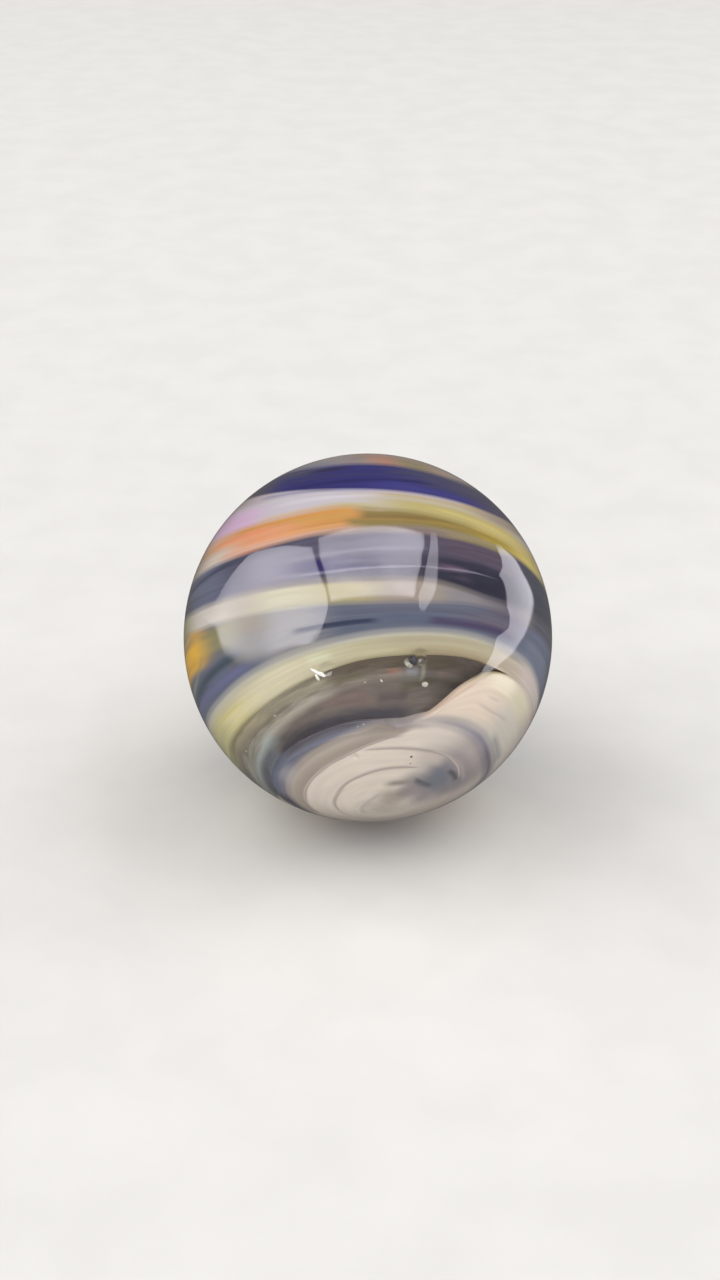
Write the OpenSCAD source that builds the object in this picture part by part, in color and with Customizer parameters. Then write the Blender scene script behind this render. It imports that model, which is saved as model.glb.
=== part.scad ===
// Swirl marble: one solid ball of glass. Ribbons of coloured glass lie in its
// skin, wound round a leaning axis. Between two of them the skin is clear, and
// the smoky body with its pale veil shows through this crescent window. At the
// swirl's lower end the ribbons close in a spiral round an eye. Bubbles have
// burst at the surface and left pits.
// Millimetres and degrees. The origin is the ball's centre, +Z is up, and
// the window faces -Y.

/* [Ball] */
// Diameter of the ball
ball_d = 16; // [12:0.5:25]
// How deep the coloured ribbons and the clear window reach, down to the smoky body
ribbon_depth = 1; // [0.6:0.1:2]

/* [Swirl] */
// How far the swirl's lower end lies below the ball's middle
swirl_drop = 34; // [20:1:60]
// How far the swirl's lower end is turned from the front towards +X
swirl_turn = 6; // [-45:1:45]

/* [Ribbon edges, as angles round the ball from the swirl's lower end] */
// Outer edge of the white swirl
white_to = 31; // [29:0.5:32.5]
// Outer edge of the blue line round the white swirl
blue_to = 36; // [35:0.5:37.5]
// Outer edge of the peach ribbon, which is the window's lower edge
peach_to = 55.5; // [53:0.5:58]
// Upper edge of the window, where the straw ribbon starts
window_to = 54; // [52.5:0.5:55]
// Outer edge of the straw ribbon
straw_to = 64; // [62.5:0.5:67]
// Outer edge of the slate ribbon
slate_to = 83.5; // [81:0.5:85]
// Outer edge of the cream ribbon
cream_to = 90; // [88.5:0.5:92]
// Outer edge of the smoky ribbon
smoke_to = 100; // [98:0.5:102]
// Outer edge of the orange and olive ribbon
orange_to = 109; // [107:0.5:111]
// Outer edge of the milk-white ribbon
milk_to = 124; // [120:1:127]
// Outer edge of the indigo ribbon, where the cap starts
indigo_to = 142; // [138:1:146]

/* [Ribbon leans, added to the swirl's drop and turn] */
// Lean of the white swirl's edge
white_lean = [-6, 2]; // [-20:1:20]
// Lean of the blue line's edge
blue_lean = [-5, 1]; // [-20:1:20]
// Lean of the peach ribbon's edge
peach_lean = [8, 34]; // [-40:1:40]
// Lean of the window's upper edge
window_lean = [-4, 3]; // [-20:1:20]
// Lean of the straw ribbon's edge
straw_lean = [-1, -1]; // [-20:1:20]
// Lean of the slate ribbon's edge
slate_lean = [8, -7]; // [-20:1:20]
// Lean of the cream ribbon's edge
cream_lean = [8, -7]; // [-20:1:20]
// Lean of the smoky ribbon's edge
smoke_lean = [3, -6]; // [-20:1:20]
// Lean of the orange and olive ribbon's edge
orange_lean = [4, -11]; // [-20:1:20]
// Lean of the milk-white ribbon's edge
milk_lean = [8, -14]; // [-20:1:20]
// Lean of the indigo ribbon's edge
indigo_lean = [12, -11]; // [-20:1:20]

/* [Fields of a second colour, each round a turn of the swirl, counted from its right] */
// Turn at the middle of the cream glass, in a ribbon that is slate elsewhere
cream_turn = 140; // [120:1:160]
// How far the cream glass spreads to either side
cream_spread = 98; // [80:1:110]
// Turn at the middle of the orange glass, in a ribbon that is olive elsewhere
orange_turn = 165; // [150:1:180]
// How far the orange glass spreads to either side
orange_spread = 75; // [50:1:100]
// Turn at the middle of the milk-white glass, in a ribbon that is yellow elsewhere
milk_turn = 155; // [140:1:170]
// How far the milk-white glass spreads to either side
milk_spread = 86; // [60:1:100]
// Turn at the middle of the amber glass, in a ribbon that is slate elsewhere
amber_turn = 180; // [170:1:200]
// How far the amber glass spreads to either side
amber_spread = 24; // [15:1:40]
// Turn at the middle of the rust glass, at the edge of the cream cap
rust_turn = 80; // [60:1:100]
// How far the rust glass spreads to either side
rust_spread = 60; // [55:1:70]

/* [Veil in the smoky body] */
// Lower edge of the pale veil, as an angle round the ball from the swirl's lower end
veil_from = 45; // [43:0.5:46.5]
// Upper edge of the veil
veil_to = 49.5; // [48:0.5:51]
// Lean of the veil's edges
veil_lean = [-5, 5]; // [-20:1:20]
// Turn at the middle of the veil
veil_turn = 135; // [120:1:150]
// How far the veil runs to either side
veil_spread = 46; // [30:1:60]

/* [Spiral and eye] */
// Width of the thin line that winds through the white swirl
line_w = 0.14; // [0.08:0.02:0.3]
// Where the line starts, as an angle from the swirl's lower end
line_from = 25; // [20:0.5:27]
// How far the line has wound in at its end, as such an angle
line_to = 15; // [13:0.5:18]
// Strokes that the line is made of, one to each half turn
line_strokes = 3; // [2:1:5]
// How far round each stroke runs before the line breaks
stroke_span = 166; // [120:2:174]
// Length of the blue-grey eye, as an angle round the ball
eye_l = 20; // [14:1:26]
// Width of the eye at its middle, as such an angle
eye_w = 6; // [3:0.5:10]
// Where the eye lies beside the middle of the white swirl: to its right and up its face
eye_at = [8, 8]; // [-12:1:12]

/* [Pits, each at an angle from the swirl's lower end and a turn round it] */
// Width of the burst bubble at the window's upper edge
burst_w = 0.5; // [0.3:0.05:0.8]
// Where the burst bubble lies
burst_at = [58, 79]; // [40:1:120]
// Width of the nick at the window's upper edge
nick_w = 0.45; // [0.3:0.05:0.8]
// Depth of the nick
nick_depth = 0.08; // [0.05:0.01:0.15]
// Where the nick lies
nick_at = [57, 111]; // [40:1:120]
// Width of each pin-hole pit in the white swirl
pin_w = 0.2; // [0.1:0.05:0.4]

/* [Hidden] */
$fn = 96;
ball_r = ball_d / 2;
core_r = ball_r - ribbon_depth;
reach = 2 * ball_r;
pins_at = [[27, 72], [23, 70], [29, 111]];

// Puts its children in the swirl's own frame: +Z runs out of the swirl's
// lower end, +X to its right and +Y up its face.
module swirl_frame(lean = [0, 0]) {
    rotate([90 + swirl_drop + lean[0], 0, swirl_turn + lean[1]])
        children();
}

// Puts its children where +Z runs straight out of a spot of the ball.
module on_spot(spot) {
    swirl_frame()
        rotate([0, spot[0], spot[1]])
            children();
}

// Everything from the swirl's lower end up to an edge.
module up_to(angle, lean) {
    swirl_frame(lean)
        translate([-reach, -reach, ball_r * cos(angle)])
            cube([2 * reach, 2 * reach, reach]);
}

// Everything within some degrees of a turn, round the swirl's middle.
module field(turn, spread) {
    swirl_frame()
        rotate([90, 0, turn + 90])
            translate([-reach, -reach, ball_r * cos(spread)])
                cube([2 * reach, 2 * reach, reach]);
}

// The outer layer of the ball, where the coloured glass lies.
module skin() {
    swirl_frame()
        difference() {
            sphere(r = ball_r);
            sphere(r = core_r);
        }
}

// The skin between two edges.
module ribbon(from, from_lean, to, to_lean) {
    intersection() {
        skin();
        difference() {
            up_to(to, to_lean);
            up_to(from, from_lean);
        }
    }
}

// One stroke of the line, as a wall that stands straight out of the swirl.
module stroke(radius) {
    rotate([0, 0, (180 - stroke_span) / 2])
        rotate_extrude(angle = stroke_span)
            translate([radius - line_w / 2, 0])
                square([line_w, reach]);
}

// The spiral line, straight through the white swirl: strokes about two
// centres by turns, each smaller than the last by one step.
module spiral() {
    first_r = ball_r * sin(line_from);
    step = (first_r - ball_r * sin(line_to)) / (line_strokes - 1);
    swirl_frame(white_lean)
        for (i = [0 : line_strokes - 1])
            translate([step * (i % 2), 0, 0])
                rotate([0, 0, 180 * i])
                    stroke(first_r - i * step);
}

// The pointed eye that the spiral closes round, straight through the white swirl.
module eye() {
    long = 2 * ball_r * sin(eye_l / 2);
    wide = 2 * ball_r * sin(eye_w / 2);
    arc_r = (long * long + wide * wide) / (4 * wide);
    swirl_frame(white_lean)
        translate(ball_r * [sin(eye_at[0]), sin(eye_at[1]), 0])
            linear_extrude(reach)
                intersection() {
                    translate([0, arc_r - wide / 2])
                        circle(r = arc_r);
                    translate([0, wide / 2 - arc_r])
                        circle(r = arc_r);
                }
}

// A round hollow in the surface, of a given width and depth.
module pit(spot, width, depth) {
    hollow_r = (width * width / 4 + depth * depth) / (2 * depth);
    on_spot(spot)
        translate([0, 0, ball_r - depth + hollow_r])
            sphere(r = hollow_r);
}

// One ribbon of two colours: one within a field, the other elsewhere.
module two_tone(turn, spread, tint_within, tint_elsewhere) {
    color(tint_within)
        intersection() {
            children();
            field(turn, spread);
        }
    color(tint_elsewhere)
        difference() {
            children();
            field(turn, spread);
        }
}

module body() {
    swirl_frame()
        sphere(r = core_r);
}

// The veil's part of the body.
module veil() {
    intersection() {
        body();
        field(veil_turn, veil_spread);
        difference() {
            up_to(veil_to, veil_lean);
            up_to(veil_from, veil_lean);
        }
    }
}

module smoky_body() {
    color("dimgray")
        difference() {
            body();
            veil();
        }
    color("silver") veil();
}

// The clear window, a crescent between the blue line, the peach ribbon and the straw one.
module window() {
    color("lavender", 0.5)
        difference() {
            ribbon(blue_to, blue_lean, window_to, window_lean);
            up_to(peach_to, peach_lean);
        }
}

module white_glass() {
    intersection() {
        skin();
        up_to(white_to, white_lean);
    }
}

module white_swirl() {
    color("linen")
        difference() {
            white_glass();
            spiral();
            eye();
        }
    color("rosybrown")
        intersection() {
            white_glass();
            difference() {
                spiral();
                eye();
            }
        }
    color("lightslategray")
        intersection() {
            white_glass();
            eye();
        }
}

module blue_line() {
    color("slateblue") ribbon(white_to, white_lean, blue_to, blue_lean);
}

module peach_ribbon() {
    color("bisque")
        intersection() {
            ribbon(blue_to, blue_lean, peach_to, peach_lean);
            up_to(window_to, window_lean);
        }
}

module straw_ribbon() {
    color("palegoldenrod") ribbon(window_to, window_lean, straw_to, straw_lean);
}

module slate_ribbon() {
    two_tone(amber_turn, amber_spread, "goldenrod", "slategray")
        ribbon(straw_to, straw_lean, slate_to, slate_lean);
}

module cream_ribbon() {
    two_tone(cream_turn, cream_spread, "cornsilk", "slategray")
        ribbon(slate_to, slate_lean, cream_to, cream_lean);
}

module smoke_ribbon() {
    color("dimgray") ribbon(cream_to, cream_lean, smoke_to, smoke_lean);
}

module orange_ribbon() {
    two_tone(orange_turn, orange_spread, "sandybrown", "olive")
        ribbon(smoke_to, smoke_lean, orange_to, orange_lean);
}

module milk_ribbon() {
    two_tone(milk_turn, milk_spread, "ghostwhite", "khaki")
        ribbon(orange_to, orange_lean, milk_to, milk_lean);
}

module indigo_ribbon() {
    color("darkslateblue") ribbon(milk_to, milk_lean, indigo_to, indigo_lean);
}

module cap() {
    two_tone(rust_turn, rust_spread, "chocolate", "antiquewhite")
        difference() {
            skin();
            up_to(indigo_to, indigo_lean);
        }
}

// The whole ball, before its surface was marked.
module ball() {
    smoky_body();
    window();
    white_swirl();
    blue_line();
    peach_ribbon();
    straw_ribbon();
    slate_ribbon();
    cream_ribbon();
    smoke_ribbon();
    orange_ribbon();
    milk_ribbon();
    indigo_ribbon();
    cap();
}

module marble() {
    difference() {
        ball();
        pit(burst_at, burst_w, burst_w / 2);
        pit(nick_at, nick_w, nick_depth);
        for (spot = pins_at)
            pit(spot, pin_w, pin_w / 2);
    }
}

marble();
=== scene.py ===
"""A glass swirl marble: ribbons of coloured glass wound in the skin of a clear ball.

The ball is one piece of glass. Its clear outer glass, each coloured ribbon, the smoky body that shows
through the crescent window, the thin lines of the spiral and the seed bubbles are made here as meshes of
their own, so that light can pass from one into the next. Lengths are in metres, angles and turns in
degrees. Angles count from the swirl's lower end, and turns go round that end, from its right by way of its
face. Across a ribbon, 0 is its lower edge and 1 its upper one. Tints are codes of a colour chart.
"""

from __future__ import annotations

import logging
import math
from dataclasses import dataclass, replace
from enum import Enum

import bmesh
import bpy
import numpy as np
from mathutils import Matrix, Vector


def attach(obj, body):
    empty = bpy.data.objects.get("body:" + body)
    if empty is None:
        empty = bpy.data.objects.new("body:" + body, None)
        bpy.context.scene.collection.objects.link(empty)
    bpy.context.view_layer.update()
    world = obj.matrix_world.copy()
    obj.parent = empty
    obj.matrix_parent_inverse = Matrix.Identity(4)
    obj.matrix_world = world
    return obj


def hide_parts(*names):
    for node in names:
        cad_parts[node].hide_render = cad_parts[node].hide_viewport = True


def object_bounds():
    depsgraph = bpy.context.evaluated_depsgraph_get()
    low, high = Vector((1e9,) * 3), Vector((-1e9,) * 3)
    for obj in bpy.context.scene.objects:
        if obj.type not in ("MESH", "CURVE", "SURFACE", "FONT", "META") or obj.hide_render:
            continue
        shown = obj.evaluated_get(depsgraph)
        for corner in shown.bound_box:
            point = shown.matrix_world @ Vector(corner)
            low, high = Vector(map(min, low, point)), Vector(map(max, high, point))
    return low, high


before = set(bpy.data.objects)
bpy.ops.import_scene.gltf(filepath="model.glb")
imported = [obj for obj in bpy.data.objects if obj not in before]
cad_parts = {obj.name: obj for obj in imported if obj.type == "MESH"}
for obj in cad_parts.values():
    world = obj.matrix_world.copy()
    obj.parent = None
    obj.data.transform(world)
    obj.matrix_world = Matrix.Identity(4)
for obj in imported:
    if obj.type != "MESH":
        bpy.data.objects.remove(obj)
CAD_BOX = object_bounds()

LOG = logging.getLogger("marble")
NODE = "marble"
BODY = "root"
MM = 0.001
HARD_EDGE = 50

Socket = bpy.types.NodeSocket
Value = float | tuple | Socket
Stations = tuple[tuple[float, float], ...]
Faces = list[tuple[int, ...]]
Inputs = dict[str | int, Value]


# ---- shapes


def smooth_step(low: float, high: float, value: np.ndarray) -> np.ndarray:
    """Rises from 0 at low to 1 at high, level at both ends."""
    t = np.clip((value - low) / (high - low), 0, 1)
    return t * t * (3 - 2 * t)


def unit(ways: np.ndarray) -> np.ndarray:
    """Vectors brought to a length of 1."""
    return ways / np.linalg.norm(ways, axis=-1, keepdims=True)


class Rim(Enum):
    """How a ribbon ends where it meets the window."""

    BUTT = "it meets its neighbour"
    ROUND = "its corner is rounded over"
    FEATHER = "it thins out and sinks into the clear glass"


@dataclass(frozen=True)
class Course:
    """How a line runs round the ball, as one smooth closed curve.

    Args:
        stations: pairs of turn and angle, in the order of their turns, within one round.
    """

    stations: Stations

    def angle(self, turns: np.ndarray) -> np.ndarray:
        """The line's angles at some turns.

        Args:
            turns: the turns.

        Returns:
            An angle for each turn.
        """
        turn, height = np.array(self.stations, float).T
        turn = np.concatenate((turn[-2:] - 360, turn, turn[:2] + 360))
        height = np.concatenate((height[-2:], height, height[:2]))
        wide = np.diff(turn)
        steep = np.diff(height) / wide
        lean = (steep[:-1] * wide[1:] + steep[1:] * wide[:-1]) / (wide[1:] + wide[:-1])
        slope = np.concatenate((steep[:1], lean, steep[-1:]))
        wrapped = (np.asarray(turns, float) - turn[1]) % 360 + turn[1]
        i = np.clip(np.searchsorted(turn, wrapped, side="right") - 1, 1, len(turn) - 3)
        t = (wrapped - turn[i]) / wide[i]
        rise = t * t * (3 - 2 * t)
        start = wide[i] * slope[i] * t * (1 - t) ** 2
        end = wide[i] * slope[i + 1] * t * t * (t - 1)
        return height[i] * (1 - rise) + height[i + 1] * rise + start + end


@dataclass(frozen=True)
class Edge(Course):
    """One edge of a ribbon.

    Args:
        rim: how it ends where it borders the window.
        start: the turn where it starts to border the window.
        stop: the turn where it leaves it.
        soft: how far the glass on either side melts into the other.
    """

    rim: Rim = Rim.BUTT
    start: float = 0.0
    stop: float = 0.0
    soft: float = 1.0
    OPENS_OVER, CLOSES_OVER = 8, 12

    def free(self, turns: np.ndarray) -> np.ndarray:
        """How far the window is open beside it at some turns, from 0 to 1.

        Args:
            turns: the turns.

        Returns:
            Shares.
        """
        if self.rim is Rim.BUTT:
            return np.zeros_like(turns)
        turns = turns % 360
        opened = smooth_step(self.start, self.start + self.OPENS_OVER, turns)
        return opened * (1 - smooth_step(self.stop - self.CLOSES_OVER, self.stop, turns))


@dataclass(frozen=True)
class Swirl:
    """The frame of the swirl: Z runs out of its lower end, X to its right and Y up its face.

    Args:
        drop: how far its lower end lies below the ball's middle.
        turn: how far its lower end is turned from the front towards +X.
    """

    drop: float = 34
    turn: float = 6

    def tip(self) -> tuple[float, float, float]:
        """The frame's rotation about X, Y and Z, in radians."""
        return math.radians(90 + self.drop), 0.0, math.radians(self.turn)

    def matrix(self) -> np.ndarray:
        """The frame's three axes as columns.

        Returns:
            A matrix of three by three.
        """
        a, _, c = self.tip()
        about_x = np.array([[1, 0, 0], [0, math.cos(a), -math.sin(a)], [0, math.sin(a), math.cos(a)]])
        about_z = np.array([[math.cos(c), -math.sin(c), 0], [math.sin(c), math.cos(c), 0], [0, 0, 1]])
        return about_z @ about_x

    def way(self, angle: np.ndarray | float, turn: np.ndarray | float) -> np.ndarray:
        """Unit vectors from the ball's centre at some angles and turns, in the ball's own frame.

        Args:
            angle: the angles.
            turn: the turns.

        Returns:
            A unit vector in each row.
        """
        a, t = np.radians(angle), np.radians(turn)
        own = np.stack((np.sin(a) * np.cos(t), np.sin(a) * np.sin(t), np.cos(a) * np.ones_like(t)), -1)
        return own @ self.matrix().T


@dataclass(frozen=True)
class Pit:
    """A hollow that a burst bubble or a knock left in the surface.

    Args:
        angle: its angle.
        turn: its turn.
        width: its width.
        depth: its depth.
    """

    angle: float
    turn: float
    width: float
    depth: float
    STEEPNESS = 0.6

    def hollow(self, way: np.ndarray, ball: Ball, spread: float = 1.0) -> np.ndarray:
        """How deep the surface lies at some directions.

        Args:
            way: unit vectors.
            ball: the ball that the pit is in.
            spread: how much wider than the pit the hollow is taken.

        Returns:
            A depth for each vector.
        """
        middle = ball.swirl.way(self.angle, self.turn)
        far = np.arccos(np.clip(way @ middle, -1, 1)) * ball.radius / (self.width / 2 * spread)
        return self.depth * np.clip(1 - far**2, 0, 1) ** self.STEEPNESS


@dataclass(frozen=True)
class Ball:
    """The ball that all pieces share.

    Args:
        radius: its outer radius.
        swirl: the frame that the ribbons are wound in.
        skin: how much clear glass lies over the ribbons.
        pits: the hollows in its surface.
    """

    radius: float
    swirl: Swirl
    skin: float
    pits: tuple[Pit, ...]
    COVER, SUNK_BELOW, PIT_SPREAD = 1.25, 1.3, 1.5

    def surface(self, way: np.ndarray) -> np.ndarray:
        """The distance of the outer surface from the centre, at some directions.

        Args:
            way: the directions.

        Returns:
            Distances.
        """
        reach = np.full(way.shape[:-1], self.radius)
        for pit in self.pits:
            reach = reach - pit.hollow(way, self)
        return reach

    def under(self, way: np.ndarray, depth: np.ndarray) -> np.ndarray:
        """The distance from the centre of what lies some way below the skin, sunk under deep pits.

        Args:
            way: the directions.
            depth: how far below the skin it lies.

        Returns:
            Distances.
        """
        reach = self.radius - self.skin - depth
        for pit in self.pits:
            if pit.depth > self.skin / 2:
                floor = self.radius - self.COVER * self.skin - pit.hollow(way, self, self.PIT_SPREAD)
                sunk = floor < self.radius - self.SUNK_BELOW * self.skin
                reach = np.where(sunk, np.minimum(reach, floor), reach)
        return reach


# ---- meshes


def wrap_faces(rounds: int, loop: int, closed: bool, domed: bool = False) -> Faces:
    """Faces that join a row of equal sections.

    Args:
        rounds: how many sections there are.
        loop: how many points each has.
        closed: whether the last section joins the first.
        domed: whether each section runs from pole to pole, so that its two ends are shared by all.

    Returns:
        Tuples of point numbers.
    """

    def spot(section: int, step: int) -> int:
        """The number of one point."""
        step %= loop
        return step if domed and step in (0, loop - 1) else (section % rounds) * loop + step

    faces = []
    for r in range(rounds if closed else rounds - 1):
        for k in range(loop - 1 if domed else loop):
            corners = (spot(r, k), spot(r, k + 1), spot(r + 1, k + 1), spot(r + 1, k))
            faces.append(tuple(dict.fromkeys(corners)))
    if not closed:
        faces += [tuple(range(loop)), tuple((rounds - 1) * loop + k for k in range(loop))]
    return faces


def mesh_of(name: str, points: np.ndarray, faces: Faces, marks: dict[str, np.ndarray]) -> bpy.types.Mesh:
    """A mesh from points and faces, with numbers at each point, by name, for its material to read.

    Args:
        name: the mesh's name.
        points: its points.
        faces: its faces.
        marks: the numbers.

    Returns:
        The mesh.
    """
    mesh = bpy.data.meshes.new(name)
    mesh.from_pydata(points.reshape(-1, 3).tolist(), [], faces)
    for mark, values in marks.items():
        layer = mesh.attributes.new(mark, "FLOAT", "POINT")
        layer.data.foreach_set("value", np.asarray(values, np.float32).ravel())
    return mesh


def add(name: str, data: bpy.types.ID, *unseen: str) -> bpy.types.Object:
    """Puts a smooth mesh, a lamp or a camera into the scene, where some kinds of ray don't see it.

    Args:
        name: its name.
        data: what it is.
        unseen: the kinds of ray that don't see it.

    Returns:
        The new object.
    """
    if isinstance(data, bpy.types.Mesh):
        data.shade_smooth()
    made = bpy.data.objects.new(name, data)
    bpy.context.scene.collection.objects.link(made)
    for ray in unseen:
        setattr(made, f"visible_{ray}", False)
    return made


# ---- nodes


class Wiring:
    """Adds nodes to one tree and joins them.

    Args:
        tree: the tree of a material, a world or a node group.
    """

    def __init__(self, tree: bpy.types.NodeTree) -> None:
        """Empties the tree."""
        self.tree = tree
        tree.nodes.clear()

    def feed(self, target: Socket, value: Value) -> None:
        """Joins a socket to a target, or sets the target's own value.

        Args:
            target: the target.
            value: the socket or the value.
        """
        if isinstance(value, bpy.types.NodeSocket):
            self.tree.links.new(value, target)
        else:
            target.default_value = value

    def node(self, kind: str, inputs: Inputs | None = None, **settings: object) -> bpy.types.Node:
        """Adds a node.

        Args:
            kind: the node's type, without the words that they all start with.
            inputs: values or sockets for its inputs, by name or number.
            settings: the node's own options.

        Returns:
            The new node.
        """
        made = self.tree.nodes.new(f"ShaderNode{kind}")
        for key, option in settings.items():
            setattr(made, key, option)
        for key, value in (inputs or {}).items():
            self.feed(made.inputs[key], value)
        return made

    def math(self, operation: str, *values: Value) -> Socket:
        """The result of one sum on numbers."""
        return self.node("Math", dict(enumerate(values)), operation=operation).outputs[0]

    def product(self, first: Value, *others: Value) -> Socket:
        """Some numbers multiplied.

        Args:
            first: the first number.
            others: the others.

        Returns:
            Their product.
        """
        for other in others:
            first = self.math("MULTIPLY", first, other)
        return first

    def rest(self, value: Value) -> Socket:
        """What is left of 1 when a number is taken away."""
        return self.math("SUBTRACT", 1.0, value)

    def vector(self, operation: str, *values: Value, out: int = 0) -> Socket:
        """The result of one sum on vectors."""
        return self.node("VectorMath", dict(enumerate(values)), operation=operation).outputs[out]

    def ease(self, value: Value, low: Value, high: Value) -> Socket:
        """Rises from 0 at low to 1 at high, level at both ends."""
        made = self.node("MapRange", {0: value, 1: low, 2: high}, interpolation_type="SMOOTHSTEP")
        return made.outputs[0]

    def mix(self, share: Value, first: Value, second: Value, blend: str = "MIX") -> Socket:
        """A share of the second colour over the first.

        Args:
            share: how much of the second colour shows.
            first: the first colour.
            second: the second colour.
            blend: how the second is laid over the first.

        Returns:
            The mixed colour.
        """
        made = self.node("Mix", {0: share}, data_type="RGBA", blend_type=blend)
        for target, colour in zip((s for s in made.inputs if s.type == "RGBA"), (first, second)):
            self.feed(target, colour)
        return next(s for s in made.outputs if s.type == "RGBA")

    def choose(self, share: Value, first: Socket, second: Socket) -> Socket:
        """A share of the second shader over the first."""
        return self.node("MixShader", {0: share, 1: first, 2: second}).outputs[0]

    def mark(self, name: str) -> Socket:
        """A number that each point carries."""
        return self.node("Attribute", attribute_name=name).outputs["Fac"]

    def clouds(self, scale: float, detail: float = 2.0) -> Socket:
        """Soft noise that is fixed to the object."""
        here = self.node("TexCoord").outputs["Object"]
        return self.node("TexNoise", {"Vector": here, "Scale": scale, "Detail": detail}).outputs[0]

    def group(self, tree: bpy.types.NodeTree, **inputs: Value) -> bpy.types.NodeOutputs:
        """Places a node group with its inputs by name, and gives its outputs."""
        return self.node("Group", inputs, node_tree=tree).outputs


class Effect(Wiring):
    """A node group with named inputs and outputs, as a tree to fill.

    Args:
        name: the group's name.
        inputs: the names of its inputs.
        outputs: the names of its outputs.
    """

    KINDS = {"Colour": "NodeSocketColor", "Tint": "NodeSocketColor", "Round": "NodeSocketVector"}

    def __init__(self, name: str, inputs: tuple[str, ...], outputs: tuple[str, ...]) -> None:
        """Makes the group and its two ends.

        Args:
            name: the group's name.
            inputs: the names of what it is given.
            outputs: the names of what it gives.
        """
        super().__init__(bpy.data.node_groups.new(name, "ShaderNodeTree"))
        for side, names in (("INPUT", inputs), ("OUTPUT", outputs)):
            for key in names:
                kind = self.KINDS.get(key, "NodeSocketFloat")
                self.tree.interface.new_socket(key, in_out=side, socket_type=kind)
        self.given = self.tree.nodes.new("NodeGroupInput").outputs
        self.end = self.tree.nodes.new("NodeGroupOutput").inputs

    def gives(self, **values: Socket) -> bpy.types.NodeTree:
        """Sends values out, and gives the finished group.

        Args:
            values: what it sends out, by name.

        Returns:
            The group.
        """
        for name, value in values.items():
            self.feed(self.end[name], value)
        return self.tree


class Effects:
    """The node groups that the glass finishes share.

    Args:
        swirl: the frame that the ribbons are wound in.
    """

    def __init__(self, swirl: Swirl) -> None:
        """Builds each group once.

        Args:
            swirl: the swirl's frame.
        """
        self.bearing = self._bearing(swirl)
        self.streaks = self._streaks()
        self.patch = self._patch()
        self.vein = self._vein()
        self.glasses: dict[str, bpy.types.NodeTree] = {}

    @staticmethod
    def _bearing(swirl: Swirl) -> bpy.types.NodeTree:
        """Where a point lies: its angle, and its turn as a unit vector and in degrees from -90 to 270.

        Args:
            swirl: the swirl's frame.

        Returns:
            The group.
        """
        w = Effect("swirl_bearing", (), ("Angle", "Round", "Turn"))
        lean = {"Vector": w.node("TexCoord").outputs["Object"], "Rotation": swirl.tip()}
        turned = w.node("VectorRotate", lean, rotation_type="EULER_XYZ", invert=True).outputs[0]
        x, y, z = w.node("SeparateXYZ", {0: w.vector("NORMALIZE", turned)}).outputs
        flat = w.node("CombineXYZ", {0: x, 1: y}).outputs[0]
        turn = w.math("ADD", w.math("DEGREES", w.math("ARCTAN2", y, x)), 90.0)
        return w.gives(
            Angle=w.math("DEGREES", w.math("ARCCOSINE", z)),
            Round=w.vector("NORMALIZE", flat),
            Turn=w.math("SUBTRACT", w.math("FLOORED_MODULO", turn, 360.0), 90.0),
        )

    @staticmethod
    def _streaks() -> bpy.types.NodeTree:
        """Long streaks that run with the ribbon, and broader clouds that drift along it.

        Returns:
            The group.
        """
        w = Effect("glass_streaks", ("Round", "Across", "Length", "Lines", "Seed"), ("Streak", "Cloud"))
        run = w.node("VectorMath", {0: w.given["Round"], "Scale": w.given["Length"]}, operation="SCALE")
        x, y, _ = w.node("SeparateXYZ", {0: run.outputs[0]}).outputs
        made = {}
        for name, fineness, detail in (("Streak", 1.0, 4.0), ("Cloud", 0.22, 2.0)):
            lines = w.product(w.given["Lines"], fineness)
            height = w.math("MULTIPLY_ADD", w.given["Across"], lines, w.given["Seed"])
            place = w.node("CombineXYZ", {0: x, 1: y, 2: height}).outputs[0]
            noise = w.node("TexNoise", {"Vector": place, "Scale": 1.0, "Detail": detail, "Roughness": 0.55})
            made[name] = w.ease(noise.outputs[0], 0.28, 0.72)
        return w.gives(**made)

    @staticmethod
    def _patch() -> bpy.types.NodeTree:
        """A soft field of a second colour, round one turn and between two heights across the ribbon.

        Returns:
            The group.
        """
        own = ("Tint", "Turn", "Spread", "Low", "High", "Soft", "Feather", "Share")
        w = Effect("glass_patch", ("Colour", "Round", "Across", *own), ("Colour",))
        _, run, across, tint, turn, spread, low, high, soft, feather, share = w.given[:11]
        turn = w.math("RADIANS", turn)
        middle = w.node("CombineXYZ", {0: w.math("COSINE", turn), 1: w.math("SINE", turn)}).outputs[0]
        near = w.vector("DOT_PRODUCT", run, middle, out=1)
        off = w.math("DEGREES", w.math("ARCCOSINE", w.math("MINIMUM", near, 1.0)))
        along = w.rest(w.ease(off, w.math("SUBTRACT", spread, soft), w.math("ADD", spread, soft)))
        half = w.product(feather, 0.5)
        sides = ((w.math("SUBTRACT", side, half), w.math("ADD", side, half)) for side in (low, high))
        above, beyond = (w.ease(across, *side) for side in sides)
        mask = w.product(along, w.product(above, w.rest(beyond)), share)
        return w.gives(Colour=w.mix(mask, w.given["Colour"], tint))

    @staticmethod
    def _vein() -> bpy.types.NodeTree:
        """A soft line of another colour along a course, fading at both its ends.

        Returns:
            The group.
        """
        own = ("Tint", "Below", "Above", "Fade", "Share")
        w = Effect("glass_vein", ("Colour", "Angle", "Turn", "Course", "Start", "Stop", *own), ("Colour",))
        _, angle, turn, course, start, stop, tint, below, above, fade, share = w.given[:11]
        off = w.math("SUBTRACT", angle, course)
        rise = w.ease(off, w.product(below, -1.0), 0.0)
        band = w.product(rise, w.rest(w.ease(off, 0.0, above)))
        begun = w.ease(turn, start, w.math("ADD", start, fade))
        ended = w.ease(turn, w.math("SUBTRACT", stop, fade), stop)
        mask = w.product(band, w.product(begun, w.rest(ended)), share)
        return w.gives(Colour=w.mix(mask, w.given["Colour"], tint))


# ---- finishes


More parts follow.
